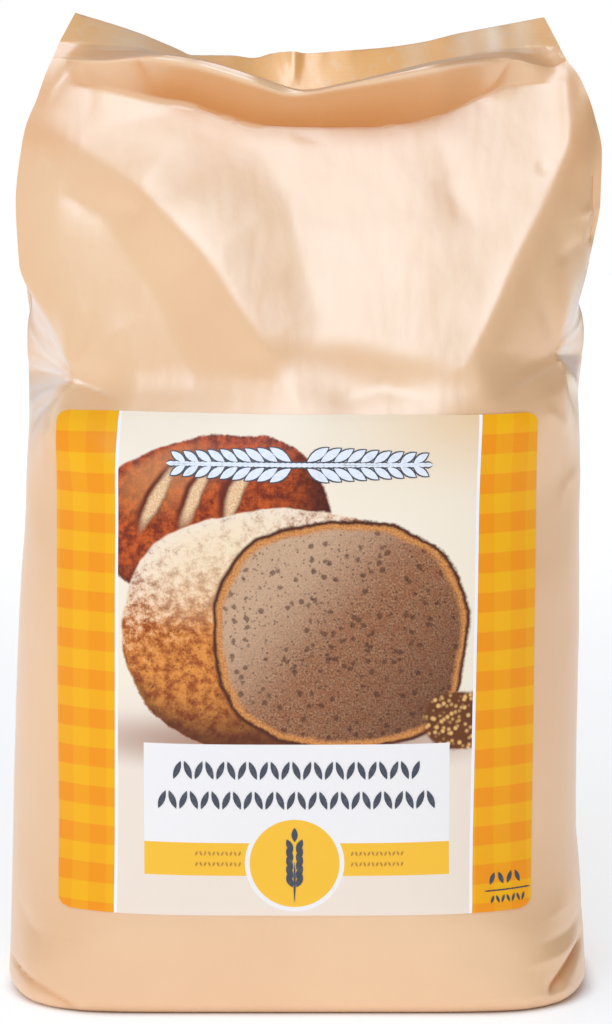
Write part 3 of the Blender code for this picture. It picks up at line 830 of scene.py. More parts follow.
        # Painted shade along the lower edges of the corner flaps at the base.
        flaps = Fold(self.left_flap, 0.8, 0.8, 0.8).at(x, z) + Fold(self.right_flap, 1.4, 1.1, 0.6).at(x, z)
        flaps = flaps * ease((-y - 16) / 14)
        return np.clip(hollow * front * (row < self.crest_row) + roll_top + seal + flaps, 0, 1)

    def painted_highlights(self, rows: Array) -> Array:
        """How pale painted highlights make the film: a painted sheen beside the gussets' pinches, a line
        along the crest and bands on the seal's waves.

        Args:
            rows: the smooth rows.

        Returns:
            Values from 0 to 1.
        """
        x, y, z = np.moveaxis(rows, 2, 0)
        row = np.arange(rows.shape[0])[:, None]
        pale = np.zeros_like(z)
        # Painted sheen in rays beside each pinch.
        for pinch, reach, strength in ((self.left_pinch, 20.0, 0.75), (self.right_pinch, 34.0, 1.15)):
            out, over, fan, outside = self.beside(x, z, pinch)
            rays = 0.6 + 0.22 * np.sin(fan * 13.0 + 1.5 * np.sin(fan * 5.0))
            away = np.hypot(out, over * 0.8) / reach
            near = (1 - ease((away - 0.25) / 0.75)) * ease((out - 1.5) / 4) * outside
            near = near * (0.35 + 0.65 * ease((-y - 2) / 14))
            pale = np.maximum(pale, near * rays * strength)
        # Painted highlight along the crest of the roll.
        rolled = (row > self.crest_row - 4) & (row < self.crest_row + 5) & (np.abs(x) < 74)
        pale = np.maximum(pale, 0.12 * rolled * (np.arange(rows.shape[1]) <= self.panel))
        # Painted highlight bands on the seal's waves and at its glints.
        ripples = np.clip(0.5 + 0.5 * np.sin((x - 31.5) / 2.7), 0, 1) ** 1.5
        bands = 0.4 * (ripples * ease((x - 28) / 12) * (1 - ease((x - 72) / 5)))
        for across, width, paleness in self.glints:
            bands = bands + paleness * np.exp(-((x - across) / width) ** 2)
        return np.clip(np.maximum(pale * (y < 30), bands * (row >= self.strip_start - 4)), 0, 1)

    def painted_sheen(self, rows: Array) -> Array:
        """How white a painted sheen makes the gusset beside each pinch, in rays that spread from the tip.

        Args:
            rows: the smooth rows.

        Returns:
            Values from 0 to 1.
        """
        x, y, z = np.moveaxis(rows, 2, 0)
        white = np.zeros_like(z)
        for pinch, starts in ((self.left_pinch, self.left_shine), (self.right_pinch, self.right_shine)):
            out, over, fan, outside = self.beside(x, z, pinch)
            rays = 0.52 + 0.2 * np.sin(fan * 9.0 + 1.5 * np.sin(fan * 5.0))
            rays = rays + 0.12 * np.sin(fan * 31.0 + over * 0.1)
            near = ease((out - curve(starts, over)) / 2) * ease((over + 36) / 30)
            near = near * (1 - ease((over - 16) / 18)) * outside
            white = np.maximum(white, near * rays * ease((10 - y) / 24))
        return white

    def beside(self, x: Array, z: Array, pinch: Pair) -> tuple[Array, Array, Array, Array]:
        """How far outside a pinch and how high over it places are, their direction and whether they are
        on its side of the bag.
        """
        out, over = np.abs(x) - abs(pinch[0]), z - pinch[1]
        return out, over, np.arctan2(over, out + 2.0), x * pinch[0] > 0

    def creased(self, rows: Array) -> tuple[Array, Array]:
        """Adds the fine creases, the corner flaps and the slight unevenness of a filled bag.

        Args:
            rows: the smooth rows.

        Returns:
            The new rows, and how sharply each point is creased.
        """
        x, y, z = np.moveaxis(rows, 2, 0)
        row, column = np.arange(rows.shape[0])[:, None], np.arange(rows.shape[1])
        front = np.where(column <= self.panel, 1.0, 0.0)[None, :] * np.ones_like(z)
        push = np.zeros_like(z)
        for crease in self.creases:
            push -= crease.at(x, z) * front * (row < self.crest_row)
        right_gusset = (column > self.panel) & (column < self.panel + 2 * self.gusset)
        for wrinkle in self.right_wrinkles:
            push -= wrinkle.at(y, z) * right_gusset[None, :]
        for wrinkle in self.left_wrinkles:
            push -= wrinkle.at(y, z) * (column > 2 * self.panel + 2 * self.gusset)[None, :]
        sharp = np.clip(np.abs(push), 0, 1)
        for wrinkle in self.side_wrinkles:
            push -= wrinkle.at(x, z) * (y < -4)
        for flap, deep, wide in ((self.left_flap, 1.0, 0.8), (self.right_flap, 2.4, 1.3)):
            push += self.flap(rows, flap, deep, wide, front)
        strip = np.clip((row - self.strip_start + 8) / 8, 0, 1)
        push += self.unevenness(rows, strip)
        for foot, top, deep in self.pleats:
            push += Fold(((foot, 280), (top, 294)), deep, 0.55, 0.95).at(x, z) * front * strip
        return rows + grid_normals(rows, True) * push[..., None], sharp

    def flap(self, rows: Array, edge: Points, deep: float, wide: float, front: Array) -> Array:
        """How far a folded flap at a front corner of the base pushes the film out.

        Args:
            rows: the smooth rows.
            edge: (across, height) points of the flap's lower edge.
            deep: how deep the line under it is.
            wide: half width of that line.
            front: 1 on the front panel and 0 elsewhere.

        Returns:
            The distances.
        """
        x, y, z = np.moveaxis(rows, 2, 0)
        places = np.array(sorted(edge), float)
        under = np.interp(x, places[:, 0], places[:, 1]) - z
        inside = (x > places[0, 0] - 4) & (x < places[-1, 0]) & (y < 8)
        line = Fold(edge, -deep, wide, 0.75).at(x, z) * inside * ease((-y - 12) / 14) * (z > 0.2)
        return line - 0.5 * ease(under / 0.8) * inside * np.clip(z / 3, 0, 1) * front

    def unevenness(self, rows: Array, strip: Array) -> Array:
        """How far the flour and the film's own grain push the film out.

        Args:
            rows: the smooth rows.
            strip: 1 on the heat-sealed strip, where the film is flat, and 0 below it.

        Returns:
            The distances, which fade out towards the base.
        """
        z = rows[..., 2]
        (large, far), (small, near) = self.lumps
        shift = Vector((7, 3, 1))
        lumps, grain = np.empty(z.size), np.empty(z.size)
        for i, p in enumerate(rows.reshape(-1, 3)):
            lumps[i] = large * noise.noise(Vector(p / far)) + small * noise.noise(Vector(p / near) + shift)
            grain[i] = noise.noise(Vector((p[0] / 2.2, p[1] / 9.0, 4.0 + p[2] / 14.0)))
        lumps, grain = lumps.reshape(z.shape), grain.reshape(z.shape)
        upper = np.clip((z - 180) / 30, 0, 1)
        soft = lumps * (0.5 + 0.5 * upper) * (1 - 0.8 * strip)
        return (soft + 0.05 * grain * (1 + strip)) * np.clip(z / 8, 0, 1)

    def faces(self) -> list[tuple[int, ...]]:
        """Faces of the loft.

        Returns:
            Point numbers of the sides, the flat base and the strip's top edge.
        """
        rows, loop = self.grid.shape[:2]
        panel, gusset = self.panel, self.gusset
        faces = [tuple(reversed(range(loop)))]
        for row in range(rows - 1):
            low, high = row * loop, (row + 1) * loop
            faces += [(low + c, low + (c + 1) % loop, high + (c + 1) % loop, high + c) for c in range(loop)]
        top = (rows - 1) * loop
        opposite = 2 * panel + 2 * gusset
        starts = (
            (panel, panel, -1, 1), (panel + 2 * gusset, panel + 2 * gusset, -1, 1),
            (opposite, opposite, -1, 1), (loop, 0, -1, 1),
        )
        for i in range(gusset):
            for a, b, down, up in starts:
                ring = [
                    (a + down * (i + 1)) % loop, (a + down * i) % loop, (b + up * i) % loop, b + up * (i + 1),
                ]
                faces.append(tuple(top + n for k, n in enumerate(ring) if n not in ring[:k]))
        for c in range(gusset, panel - gusset):
            ring = [c, c + 1, opposite - c - 1, opposite - c]
            if c == gusset:
                ring.append(2 * panel + 3 * gusset)
            if c == panel - gusset - 1:
                ring.insert(2, panel + gusset)
            faces.append(tuple(top + n for n in ring))
        return faces

    def build(self, finish: Material) -> Piece:
        """Makes the film piece.

        Args:
            finish: its material.

        Returns:
            The object, riding on the root body in place of the CAD bag.
        """
        film = mesh_object("film_bag", self.grid.reshape(-1, 3), self.faces(), finish)
        sealed = np.clip(np.arange(self.grid.shape[0]) - self.strip_start + 1, 0, 1)
        strip = np.repeat(sealed, self.grid.shape[1])
        # deep carries painted shade and the seal's own tone; pale and white carry painted highlights and
        # painted sheen.
        tones = {
            "crease": self.crease, "deep": self.painted_shade_and_seal_tone(self.plain), "pale": self.painted_highlights(self.plain),
            "white": self.painted_sheen(self.plain), "strip": strip,
        }
        for name, values in tones.items():
            layer = film.data.attributes.new(name, "FLOAT", "POINT")
            layer.data.foreach_set("value", values.reshape(-1).astype(np.float32))
        film.data.set_sharp_from_angle(angle=math.radians(50))
        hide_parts("bag")
        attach(film, "root")
        return film


@dataclass
class Label:
    """The paper label, which follows the front panel a hair in front of it.

    Attributes:
        film: the bag that it is glued to.
        left: where its left edge is, and so on for the other sides.
        corner: radius of its corners.
        taper: how far its right edge stands in at the bottom.
        gap: how far its back stands off the film.
        thickness: its thickness.
        columns: segments across.
        rows: segments up.
        waves: (height, size) of the paper's unevenness.
        pressed: how far its edges are pressed to the film, and how far in from the edge.
        front: the film's rows behind the label.
        heights: heights of those rows.
        lines: grid of points on the film's surface that the paper follows.
    """

    film: FilmBag
    left: float = -73.0
    right: float = 72.5
    bottom: float = 32.5
    top: float = 184.0
    corner: float = 3.4
    taper: float = 1.5
    gap: float = 0.42
    thickness: float = 0.28
    columns: int = 150
    rows: int = 150
    waves: Pair = (0.1, 24.0)
    pressed: Pair = (0.22, 2.5)
    front: Array = field(init=False, repr=False)
    heights: Array = field(init=False, repr=False)
    lines: Array = field(init=False, repr=False)

    def __post_init__(self) -> None:
        """Lays the label's grid over the front panel."""
        front = self.film.plain[:, : self.film.panel + 1]
        heights = front[:, 0, 2]
        keep = (heights > self.bottom - 12) & (heights < self.top + 12)
        self.front, self.heights = front[keep], heights[keep]
        self.lines = np.array([self.line(z) for z in self.row_heights()])

    def row_heights(self) -> Array:
        """Heights of the grid's rows, closer at the rounded corners."""
        share = np.linspace(0, 1, self.rows + 1)
        return self.bottom + (self.top - self.bottom) * (share - np.sin(4 * math.pi * share) * 0.02)

    def surface(self, x: Array, z: float) -> Array:
        """Points of the film's front.

        Args:
            x: places across.
            z: height.

        Returns:
            The points there.
        """
        above = int(np.clip(np.searchsorted(self.heights, z), 1, len(self.heights) - 1))
        low, high = self.heights[above - 1], self.heights[above]
        line = self.front[above - 1] + (self.front[above] - self.front[above - 1]) * (z - low) / (high - low)
        return np.stack([x, np.interp(x, line[:, 0], line[:, 1]), np.full_like(x, z)], 1)

    def line(self, z: float) -> Array:
        """One row of the label.

        Args:
            z: its height.

        Returns:
            Its points, evenly spaced along the paper.
        """
        past = max(self.bottom + self.corner - z, z - self.top + self.corner, 0)
        inset = self.corner - math.sqrt(max(self.corner**2 - past**2, 0))
        lean = self.taper * (self.top - z) / (self.top - self.bottom)
        fine = np.linspace(self.left + inset, self.right - inset - lean, 1200)
        points = self.surface(fine, z)
        length = np.concatenate([[0], np.cumsum(np.hypot(np.diff(points[:, 0]), np.diff(points[:, 1])))])
        even = np.interp(np.linspace(0, length[-1], self.columns + 1), length, fine)
        return self.surface(even, z)

    def arc(self, x: float, z: float = 110.0) -> float:
        """Distance along the paper from the bag's middle to a place, at a height; negative to the left."""
        points = self.surface(np.linspace(0, x, 400), z)
        return math.copysign(float(np.hypot(np.diff(points[:, 0]), np.diff(points[:, 1])).sum()), x)

    @property
    def size(self) -> tuple[float, float, float]:
        """Left end, width and height of the flat label."""
        return self.arc(self.left), self.arc(self.right) - self.arc(self.left), self.top - self.bottom

    def flat_places(self) -> tuple[Array, Array]:
        """Places of the grid on the flat label.

        Returns:
            Shares across and up, from 0 to 1.
        """
        start, width, height = self.size
        u = np.zeros(self.lines.shape[:2])
        for row, points in enumerate(self.lines):
            steps = np.hypot(np.diff(points[:, 0]), np.diff(points[:, 1]))
            along = np.concatenate([[0], np.cumsum(steps)])
            u[row] = (along - np.interp(0, points[:, 0], along) - start) / width
        return u, np.repeat(((self.lines[:, 0, 2] - self.bottom) / height)[:, None], u.shape[1], 1)

    def face(self) -> Array:
        """The paper's front.

        Returns:
            Its grid of points.
        """
        _, width, height = self.size
        u, v = self.flat_places()
        wave, size = self.waves
        waves = np.array([wave * noise.noise(Vector(p / size)) for p in self.lines.reshape(-1, 3)])
        edge = np.minimum.reduce([u * width, (1 - u) * width, v * height, (1 - v) * height])
        depth, reach = self.pressed
        out = self.gap + self.thickness + waves.reshape(u.shape) - depth * (1 - ease(edge / reach))
        return self.lines + grid_normals(self.lines, False) * out[..., None]

    def front_sheet(self) -> Piece:
        """Makes a sheet of the paper's front alone, which is no piece, to wrap the print on."""
        grid = self.face()
        sheet = mesh_object("sheet", grid.reshape(-1, 3) + self.film.shift, grid_faces(*grid.shape[:2]), None)
        self.add_places(sheet, np.stack([v.reshape(-1) for v in self.flat_places()], 1))
        return sheet

    def add_places(self, piece: Piece, places: Array) -> None:
        """Adds the flat places as a UV map.

        Args:
            piece: the mesh object.
            places: the places of its points.
        """
        corners = np.empty(len(piece.data.loops), np.int32)
        piece.data.loops.foreach_get("vertex_index", corners)
        layer = piece.data.uv_layers.new(name="OFBake")
        layer.data.foreach_set("uv", places[corners].reshape(-1).astype(np.float32))

    def build(self, finish: Material) -> Piece:
        """Makes the label piece.

        Args:
            finish: its material.

        Returns:
            The object, riding on the root body in place of the CAD label.
        """
        grid = self.lines
        front = self.face()
        back = grid + grid_normals(grid, False) * self.gap * 0.4
        rows, columns = grid.shape[:2]
        count = rows * columns
        rim = list(range(columns))
        rim += [r * columns + columns - 1 for r in range(1, rows)]
        rim += [count - 2 - c for c in range(columns - 1)]
        rim += [r * columns for r in range(rows - 2, 0, -1)]
        faces = grid_faces(rows, columns)
        faces += [tuple(count + n for n in reversed(face)) for face in faces]
        faces += [(a, count + a, count + b, b) for a, b in zip(rim, rim[1:] + rim[:1])]
        points = np.concatenate([front.reshape(-1, 3), back.reshape(-1, 3)]) + self.film.shift
        label = mesh_object("label_paper", points, faces, finish)
        places = np.stack([v.reshape(-1) for v in self.flat_places()], 1)
        self.add_places(label, np.concatenate([places, places]))
        label.data.set_sharp_from_angle(angle=math.radians(50))
        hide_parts("label")
        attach(label, "root")
        return label


def grid_faces(rows: int, columns: int) -> list[tuple[int, ...]]:
    """Faces of an open grid of points, as point numbers."""
    return [
        (r * columns + c, r * columns + c + 1, (r + 1) * columns + c + 1, (r + 1) * columns + c)
        for r in range(rows - 1)
        for c in range(columns - 1)
    ]


def placed(name: str, data: bpy.types.ID) -> Piece:
    """Makes an object and links it to the scene."""
    made = bpy.data.objects.new(name, data)
    bpy.context.scene.collection.objects.link(made)
    return made


def mesh_object(
    name: str, points: Array, faces: Sequence[tuple[int, ...]], finish: Material | None
) -> Piece:
    """Makes a smooth-shaded mesh object.

    Args:
        name: its name.
        points: its points in millimetres.
        faces: its faces as point numbers.
        finish: its material, if it has one.

    Returns:
        The object, linked to the scene.
    """
    mesh = bpy.data.meshes.new(name)
    mesh.from_pydata((np.asarray(points) * MM).tolist(), [], faces)
    if finish is not None:
        mesh.materials.append(finish)
    mesh.shade_smooth()
    return placed(name, mesh)


class Value:
    """A number in a node tree, which takes ordinary arithmetic."""

    def __init__(self, tree: bpy.types.NodeTree, socket: Socket) -> None:
        """Wraps an output socket of a tree."""
        self.tree, self.socket = tree, socket

    def math(self, operation: str, *others: "Value | float") -> "Value":
        """Runs a Math node.

        Args:
            operation: the node's operation.
            others: its further inputs.

        Returns:
            The result.
        """
        node = self.tree.nodes.new("ShaderNodeMath")
        node.operation = operation
        for place, value in enumerate((self, *others)):
            feed(self.tree, node.inputs[place], value)
        return Value(self.tree, node.outputs[0])

    def __add__(self, other: "Value | float") -> "Value":
        """Sum."""
        return self.math("ADD", other)

    def __sub__(self, other: "Value | float") -> "Value":
        """Difference."""
        return self.math("SUBTRACT", other)

    def __mul__(self, other: "Value | float") -> "Value":
        """Product."""
        return self.math("MULTIPLY", other)

    def __truediv__(self, other: "Value | float") -> "Value":
        """Quotient."""
        return self.math("DIVIDE", other)

    def ramp(self, low: float, high: float) -> "Value":
        """Smooth step.

        Args:
            low: value that gives 0.
            high: value that gives 1; it may be the lower of the two.

        Returns:
            The eased value.
        """
        node = self.tree.nodes.new("ShaderNodeMapRange")
        node.interpolation_type = "SMOOTHSTEP"
        self.tree.links.new(self.socket, node.inputs["Value"])
        rising = low < high
        ends = (low, high, 0.0, 1.0) if rising else (high, low, 1.0, 0.0)
        for name, value in zip(("From Min", "From Max", "To Min", "To Max"), ends):
            node.inputs[name].default_value = value
        return Value(self.tree, node.outputs["Result"])


def feed(tree: bpy.types.NodeTree, socket: Socket, value: object) -> None:
    """Links a value or an output to an input socket, or sets a plain number or colour on it."""
    value = value.socket if isinstance(value, Value) else value
    if isinstance(value, Socket):
        tree.links.new(value, socket)
    else:
        socket.default_value = value


def mixed(tree: bpy.types.NodeTree, kind: str, low: object, high: object, factor: Socket) -> Socket:
    """Mixes two numbers or two colours.

    Args:
        tree: the node tree.
        kind: FLOAT or RGBA.
        low: number, colour, socket or value at 0.
        high: the same at 1.
        factor: the mix.

    Returns:
        The result's socket.
    """
    made = tree.nodes.new("ShaderNodeMix")
    made.data_type = kind
    first, result = {"FLOAT": (2, 0), "RGBA": (6, 2)}[kind]
    tree.links.new(factor, made.inputs[0])
    feed(tree, made.inputs[first], low)
    feed(tree, made.inputs[first + 1], high)
    return made.outputs[result]


class Painter:
    """Lays coloured shapes over one another in a material's node tree."""

    def __init__(self, name: str) -> None:
        """Makes the material, by its name."""
        self.material = bpy.data.materials.new(name)
        self.material.use_nodes = True
        self.tree = self.material.node_tree
        self.shader = self.tree.nodes["Principled BSDF"]
        self.colour: Socket | None = None

    def node(self, kind: str, **inputs: object) -> bpy.types.Node:
        """Adds a node.

        Args:
            kind: its type.
            inputs: socket values by name, with spaces as underscores.

        Returns:
            The node.
        """
        made = self.tree.nodes.new(kind)
        for name, value in inputs.items():
            feed(self.tree, made.inputs[name.replace("_", " ")], value)
        return made

    def value(self, socket: Socket) -> Value:
        """Wraps an output socket."""
        return Value(self.tree, socket)

    def attribute(self, name: str) -> Value:
        """Value of an attribute of the mesh, by its name."""
        made = self.node("ShaderNodeAttribute")
        made.attribute_name = name
        return self.value(made.outputs["Fac"])

    def place(self, scale: Colour = (1, 1, 1)) -> Socket:
        """Object coordinates, scaled."""
        coordinates = self.node("ShaderNodeTexCoord").outputs["Object"]
        mapping = self.node("ShaderNodeMapping", Vector=coordinates)
        mapping.inputs["Scale"].default_value = scale
        return mapping.outputs[0]

    def noise(self, vector: Socket, scale: float, detail: float = 3.0, rough: float = 0.5) -> Value:
        """Value of a noise texture, from 0 to 1."""
        made = self.node("ShaderNodeTexNoise", Vector=vector, Scale=scale, Detail=detail, Roughness=rough)
        return self.value(made.outputs["Fac"])

    def mix(self, low: object, high: object, factor: Value) -> Socket:
        """Mixes two screen colours, or sockets of colours."""
        ends = (end if isinstance(end, Socket) else (*tone(end), 1) for end in (low, high))
        return mixed(self.tree, "RGBA", *ends, factor.socket)

    def lay(self, mask: Value, colour: object) -> None:
        """Lays a colour, or a colour's socket, over what is there, as far as the mask from 0 to 1 says."""
        self.colour = self.mix(self.colour, colour, mask)

    def bump(self, height: Value, distance: float, strength: float = 1.0, under: object = None) -> object:
        """Adds a bump.

        Args:
            height: its height from 0 to 1.
            distance: what 1 stands for, in metres.
            strength: its strength.
            under: the normal of a bump below it, if there is one.

        Returns:
            The bump's normal socket.
        """
        made = self.node("ShaderNodeBump", Height=height, Strength=strength, Distance=distance)
        if under is not None:
            self.tree.links.new(under, made.inputs["Normal"])
        return made.outputs[0]

    def finish(self, roughness: object, normal: object, **fixed: object) -> Material:
        """Connects the shader.

        Args:
            roughness: number or value.
            normal: the normal's socket.
            fixed: further sockets of the shader, set as they are.

        Returns:
            The material.
        """
        if self.colour is not None:
            self.tree.links.new(self.colour, self.shader.inputs["Base Color"])
        feed(self.tree, self.shader.inputs["Roughness"], roughness)
        feed(self.tree, self.shader.inputs["Normal"], normal)
        for name, value in fixed.items():
            self.shader.inputs[name.replace("_", " ")].default_value = value
        return self.material


def tone(colour: Colour) -> Colour:
    """Turns a screen colour, from 0 to 255, into the linear one that a shader takes."""
    shares = (c / 255 for c in colour)
    return tuple(c / 12.92 if c <= 0.04045 else ((c + 0.055) / 1.055) ** 2.4 for c in shares)


@dataclass(frozen=True)
class FilmFinish:
    """Satin pearl film.

    Attributes:
        light: screen colour of most of it.
        deep: screen colour of its darker patches.
        edge: screen colour of the creases, where the film is stretched.
        shade: screen colour of painted shade under the roll, in its corners, on its top and along the flaps.
        seal: screen colour of the seal, where the film lies double, laid with painted shade that is deepest
            in the middle.
        pale: screen colour of painted highlights: on the crest, on the seal's waves and beside the pinches.
        white: screen colour of the painted sheen in rays beside the pinches.
        metallic: how metallic its pearl is.
        roughness: its mean roughness.
        coat: weight of its gloss.
        coat_roughness: roughness of the gloss.
        coat_index: refractive index of the gloss.
    """

    light: Colour = (241, 191, 136)
    deep: Colour = (236, 182, 126)
    edge: Colour = (246, 214, 176)
    shade: Colour = (218, 140, 44)
    seal: Colour = (255, 184, 88)
    pale: Colour = (255, 236, 208)
    white: Colour = (246, 230, 224)
    metallic: float = 0.3
    roughness: float = 0.45
    coat: float = 1.0
    coat_roughness: float = 0.36
    coat_index: float = 2.2

    def build(self) -> Material:
        """Makes the material."""
        paint = Painter("pearl_film")
        place = paint.place()
        patches = paint.noise(place, 14.0, 3.0)
        paint.colour = paint.mix(self.deep, self.light, patches.ramp(0.3, 0.7))
        names = ("crease", "deep", "pale", "white", "strip")
        crease, shade, pale, white, strip = (paint.attribute(name) for name in names)
        streak = paint.noise(paint.place((1.0, 1.0, 0.12)), 420.0, 2.0)
        paint.lay(crease.ramp(0.25, 1.0) * 0.5, self.edge)
        # Painted shade under the roll, in its corners, on its top and along the flaps; on the seal, the
        # double film's deeper colour with painted shade.
        paint.lay(shade, paint.mix(self.shade, self.seal, strip))
        brushed = paint.noise(paint.place((1.0, 1.0, 0.06)), 260.0, 2.0).ramp(0.5, 0.75)
        paint.lay(brushed * strip * 0.35, self.edge)
        # Painted highlights on the crest and the seal, and painted sheen beside the pinches.
        paint.lay(pale, self.pale)
        paint.lay(white, self.white)
        fleck = paint.noise(place, 2400.0, 1.0)
        roughness = (patches - 0.5) * 0.08 + self.roughness
        ribs = paint.node("ShaderNodeTexWave", Vector=place, Scale=260.0, Distortion=0.4)
        ribs.bands_direction = "Z"
        rib = paint.value(ribs.outputs["Fac"]) * strip
        normal = paint.bump(paint.noise(place, 55.0, 3.0), 0.0011, 0.5)
        normal = paint.bump(streak, 0.00012, 0.5, normal)
        normal = paint.bump(fleck, 0.00003, 0.6, normal)
        normal = paint.bump(rib, 0.00006, 0.2, normal)
        return paint.finish(
            roughness, normal, Metallic=self.metallic, Coat_Weight=self.coat,
            Coat_Roughness=self.coat_roughness, Coat_IOR=self.coat_index,
        )


@dataclass(frozen=True)
class Shape:
    """A rounded shape on the flat label, in millimetres from the middle of its lower edge.

    Attributes:
        s: middle across.
        t: middle height.
        rs: half width.
        rt: half height.
        turn: how far it is turned, in degrees.
    """

    s: float
    t: float
    rs: float
    rt: float
    turn: float = 0.0

    def local(self, s: Value, t: Value) -> tuple[Value, Value]:
        """Coordinates in the shape's own directions.

        Args:
            s: place across.
            t: height.

        Returns:
            The two coordinates.
        """
        ds, dt = s - self.s, t - self.t
        if not self.turn:
            return ds, dt
        c, n = math.cos(math.radians(self.turn)), math.sin(math.radians(self.turn))
        return ds * c + dt * n, dt * c - ds * n

    def oval(self, s: Value, t: Value, soft: float = 0.3, power: float = 2.0) -> Value:
        """Mask of an oval.

        Args:
            s: place across.
            t: height.
            soft: half width of its soft edge.
            power: 2 for an ellipse, more for a boxier shape.

        Returns:
            1 inside and 0 outside.
        """
        a, b = self.local(s, t)
        total = (a / self.rs).math("ABSOLUTE").math("POWER", power)
        total = total + (b / self.rt).math("ABSOLUTE").math("POWER", power)
        size = min(self.rs, self.rt)
        reach = (total.math("POWER", 1 / power) - 1) * size
        return reach.ramp(soft, -soft)

    def box(self, s: Value, t: Value, corner: float = 0.0, soft: float = 0.08) -> Value:
        """Mask of a box with rounded corners.

        Args:
            s: place across.
            t: height.
            corner: radius of its corners.
            soft: half width of its soft edge.

        Returns:
            1 inside and 0 outside.
        """
        a, b = self.local(s, t)
        a = a.math("ABSOLUTE") - (self.rs - corner)
        b = b.math("ABSOLUTE") - (self.rt - corner)
        if not corner:
            return a.math("MAXIMUM", b).ramp(soft, -soft)
        a, b = a.math("MAXIMUM", 0.0), b.math("MAXIMUM", 0.0)
        return ((a * a + b * b).math("SQRT") - corner).ramp(soft, -soft)


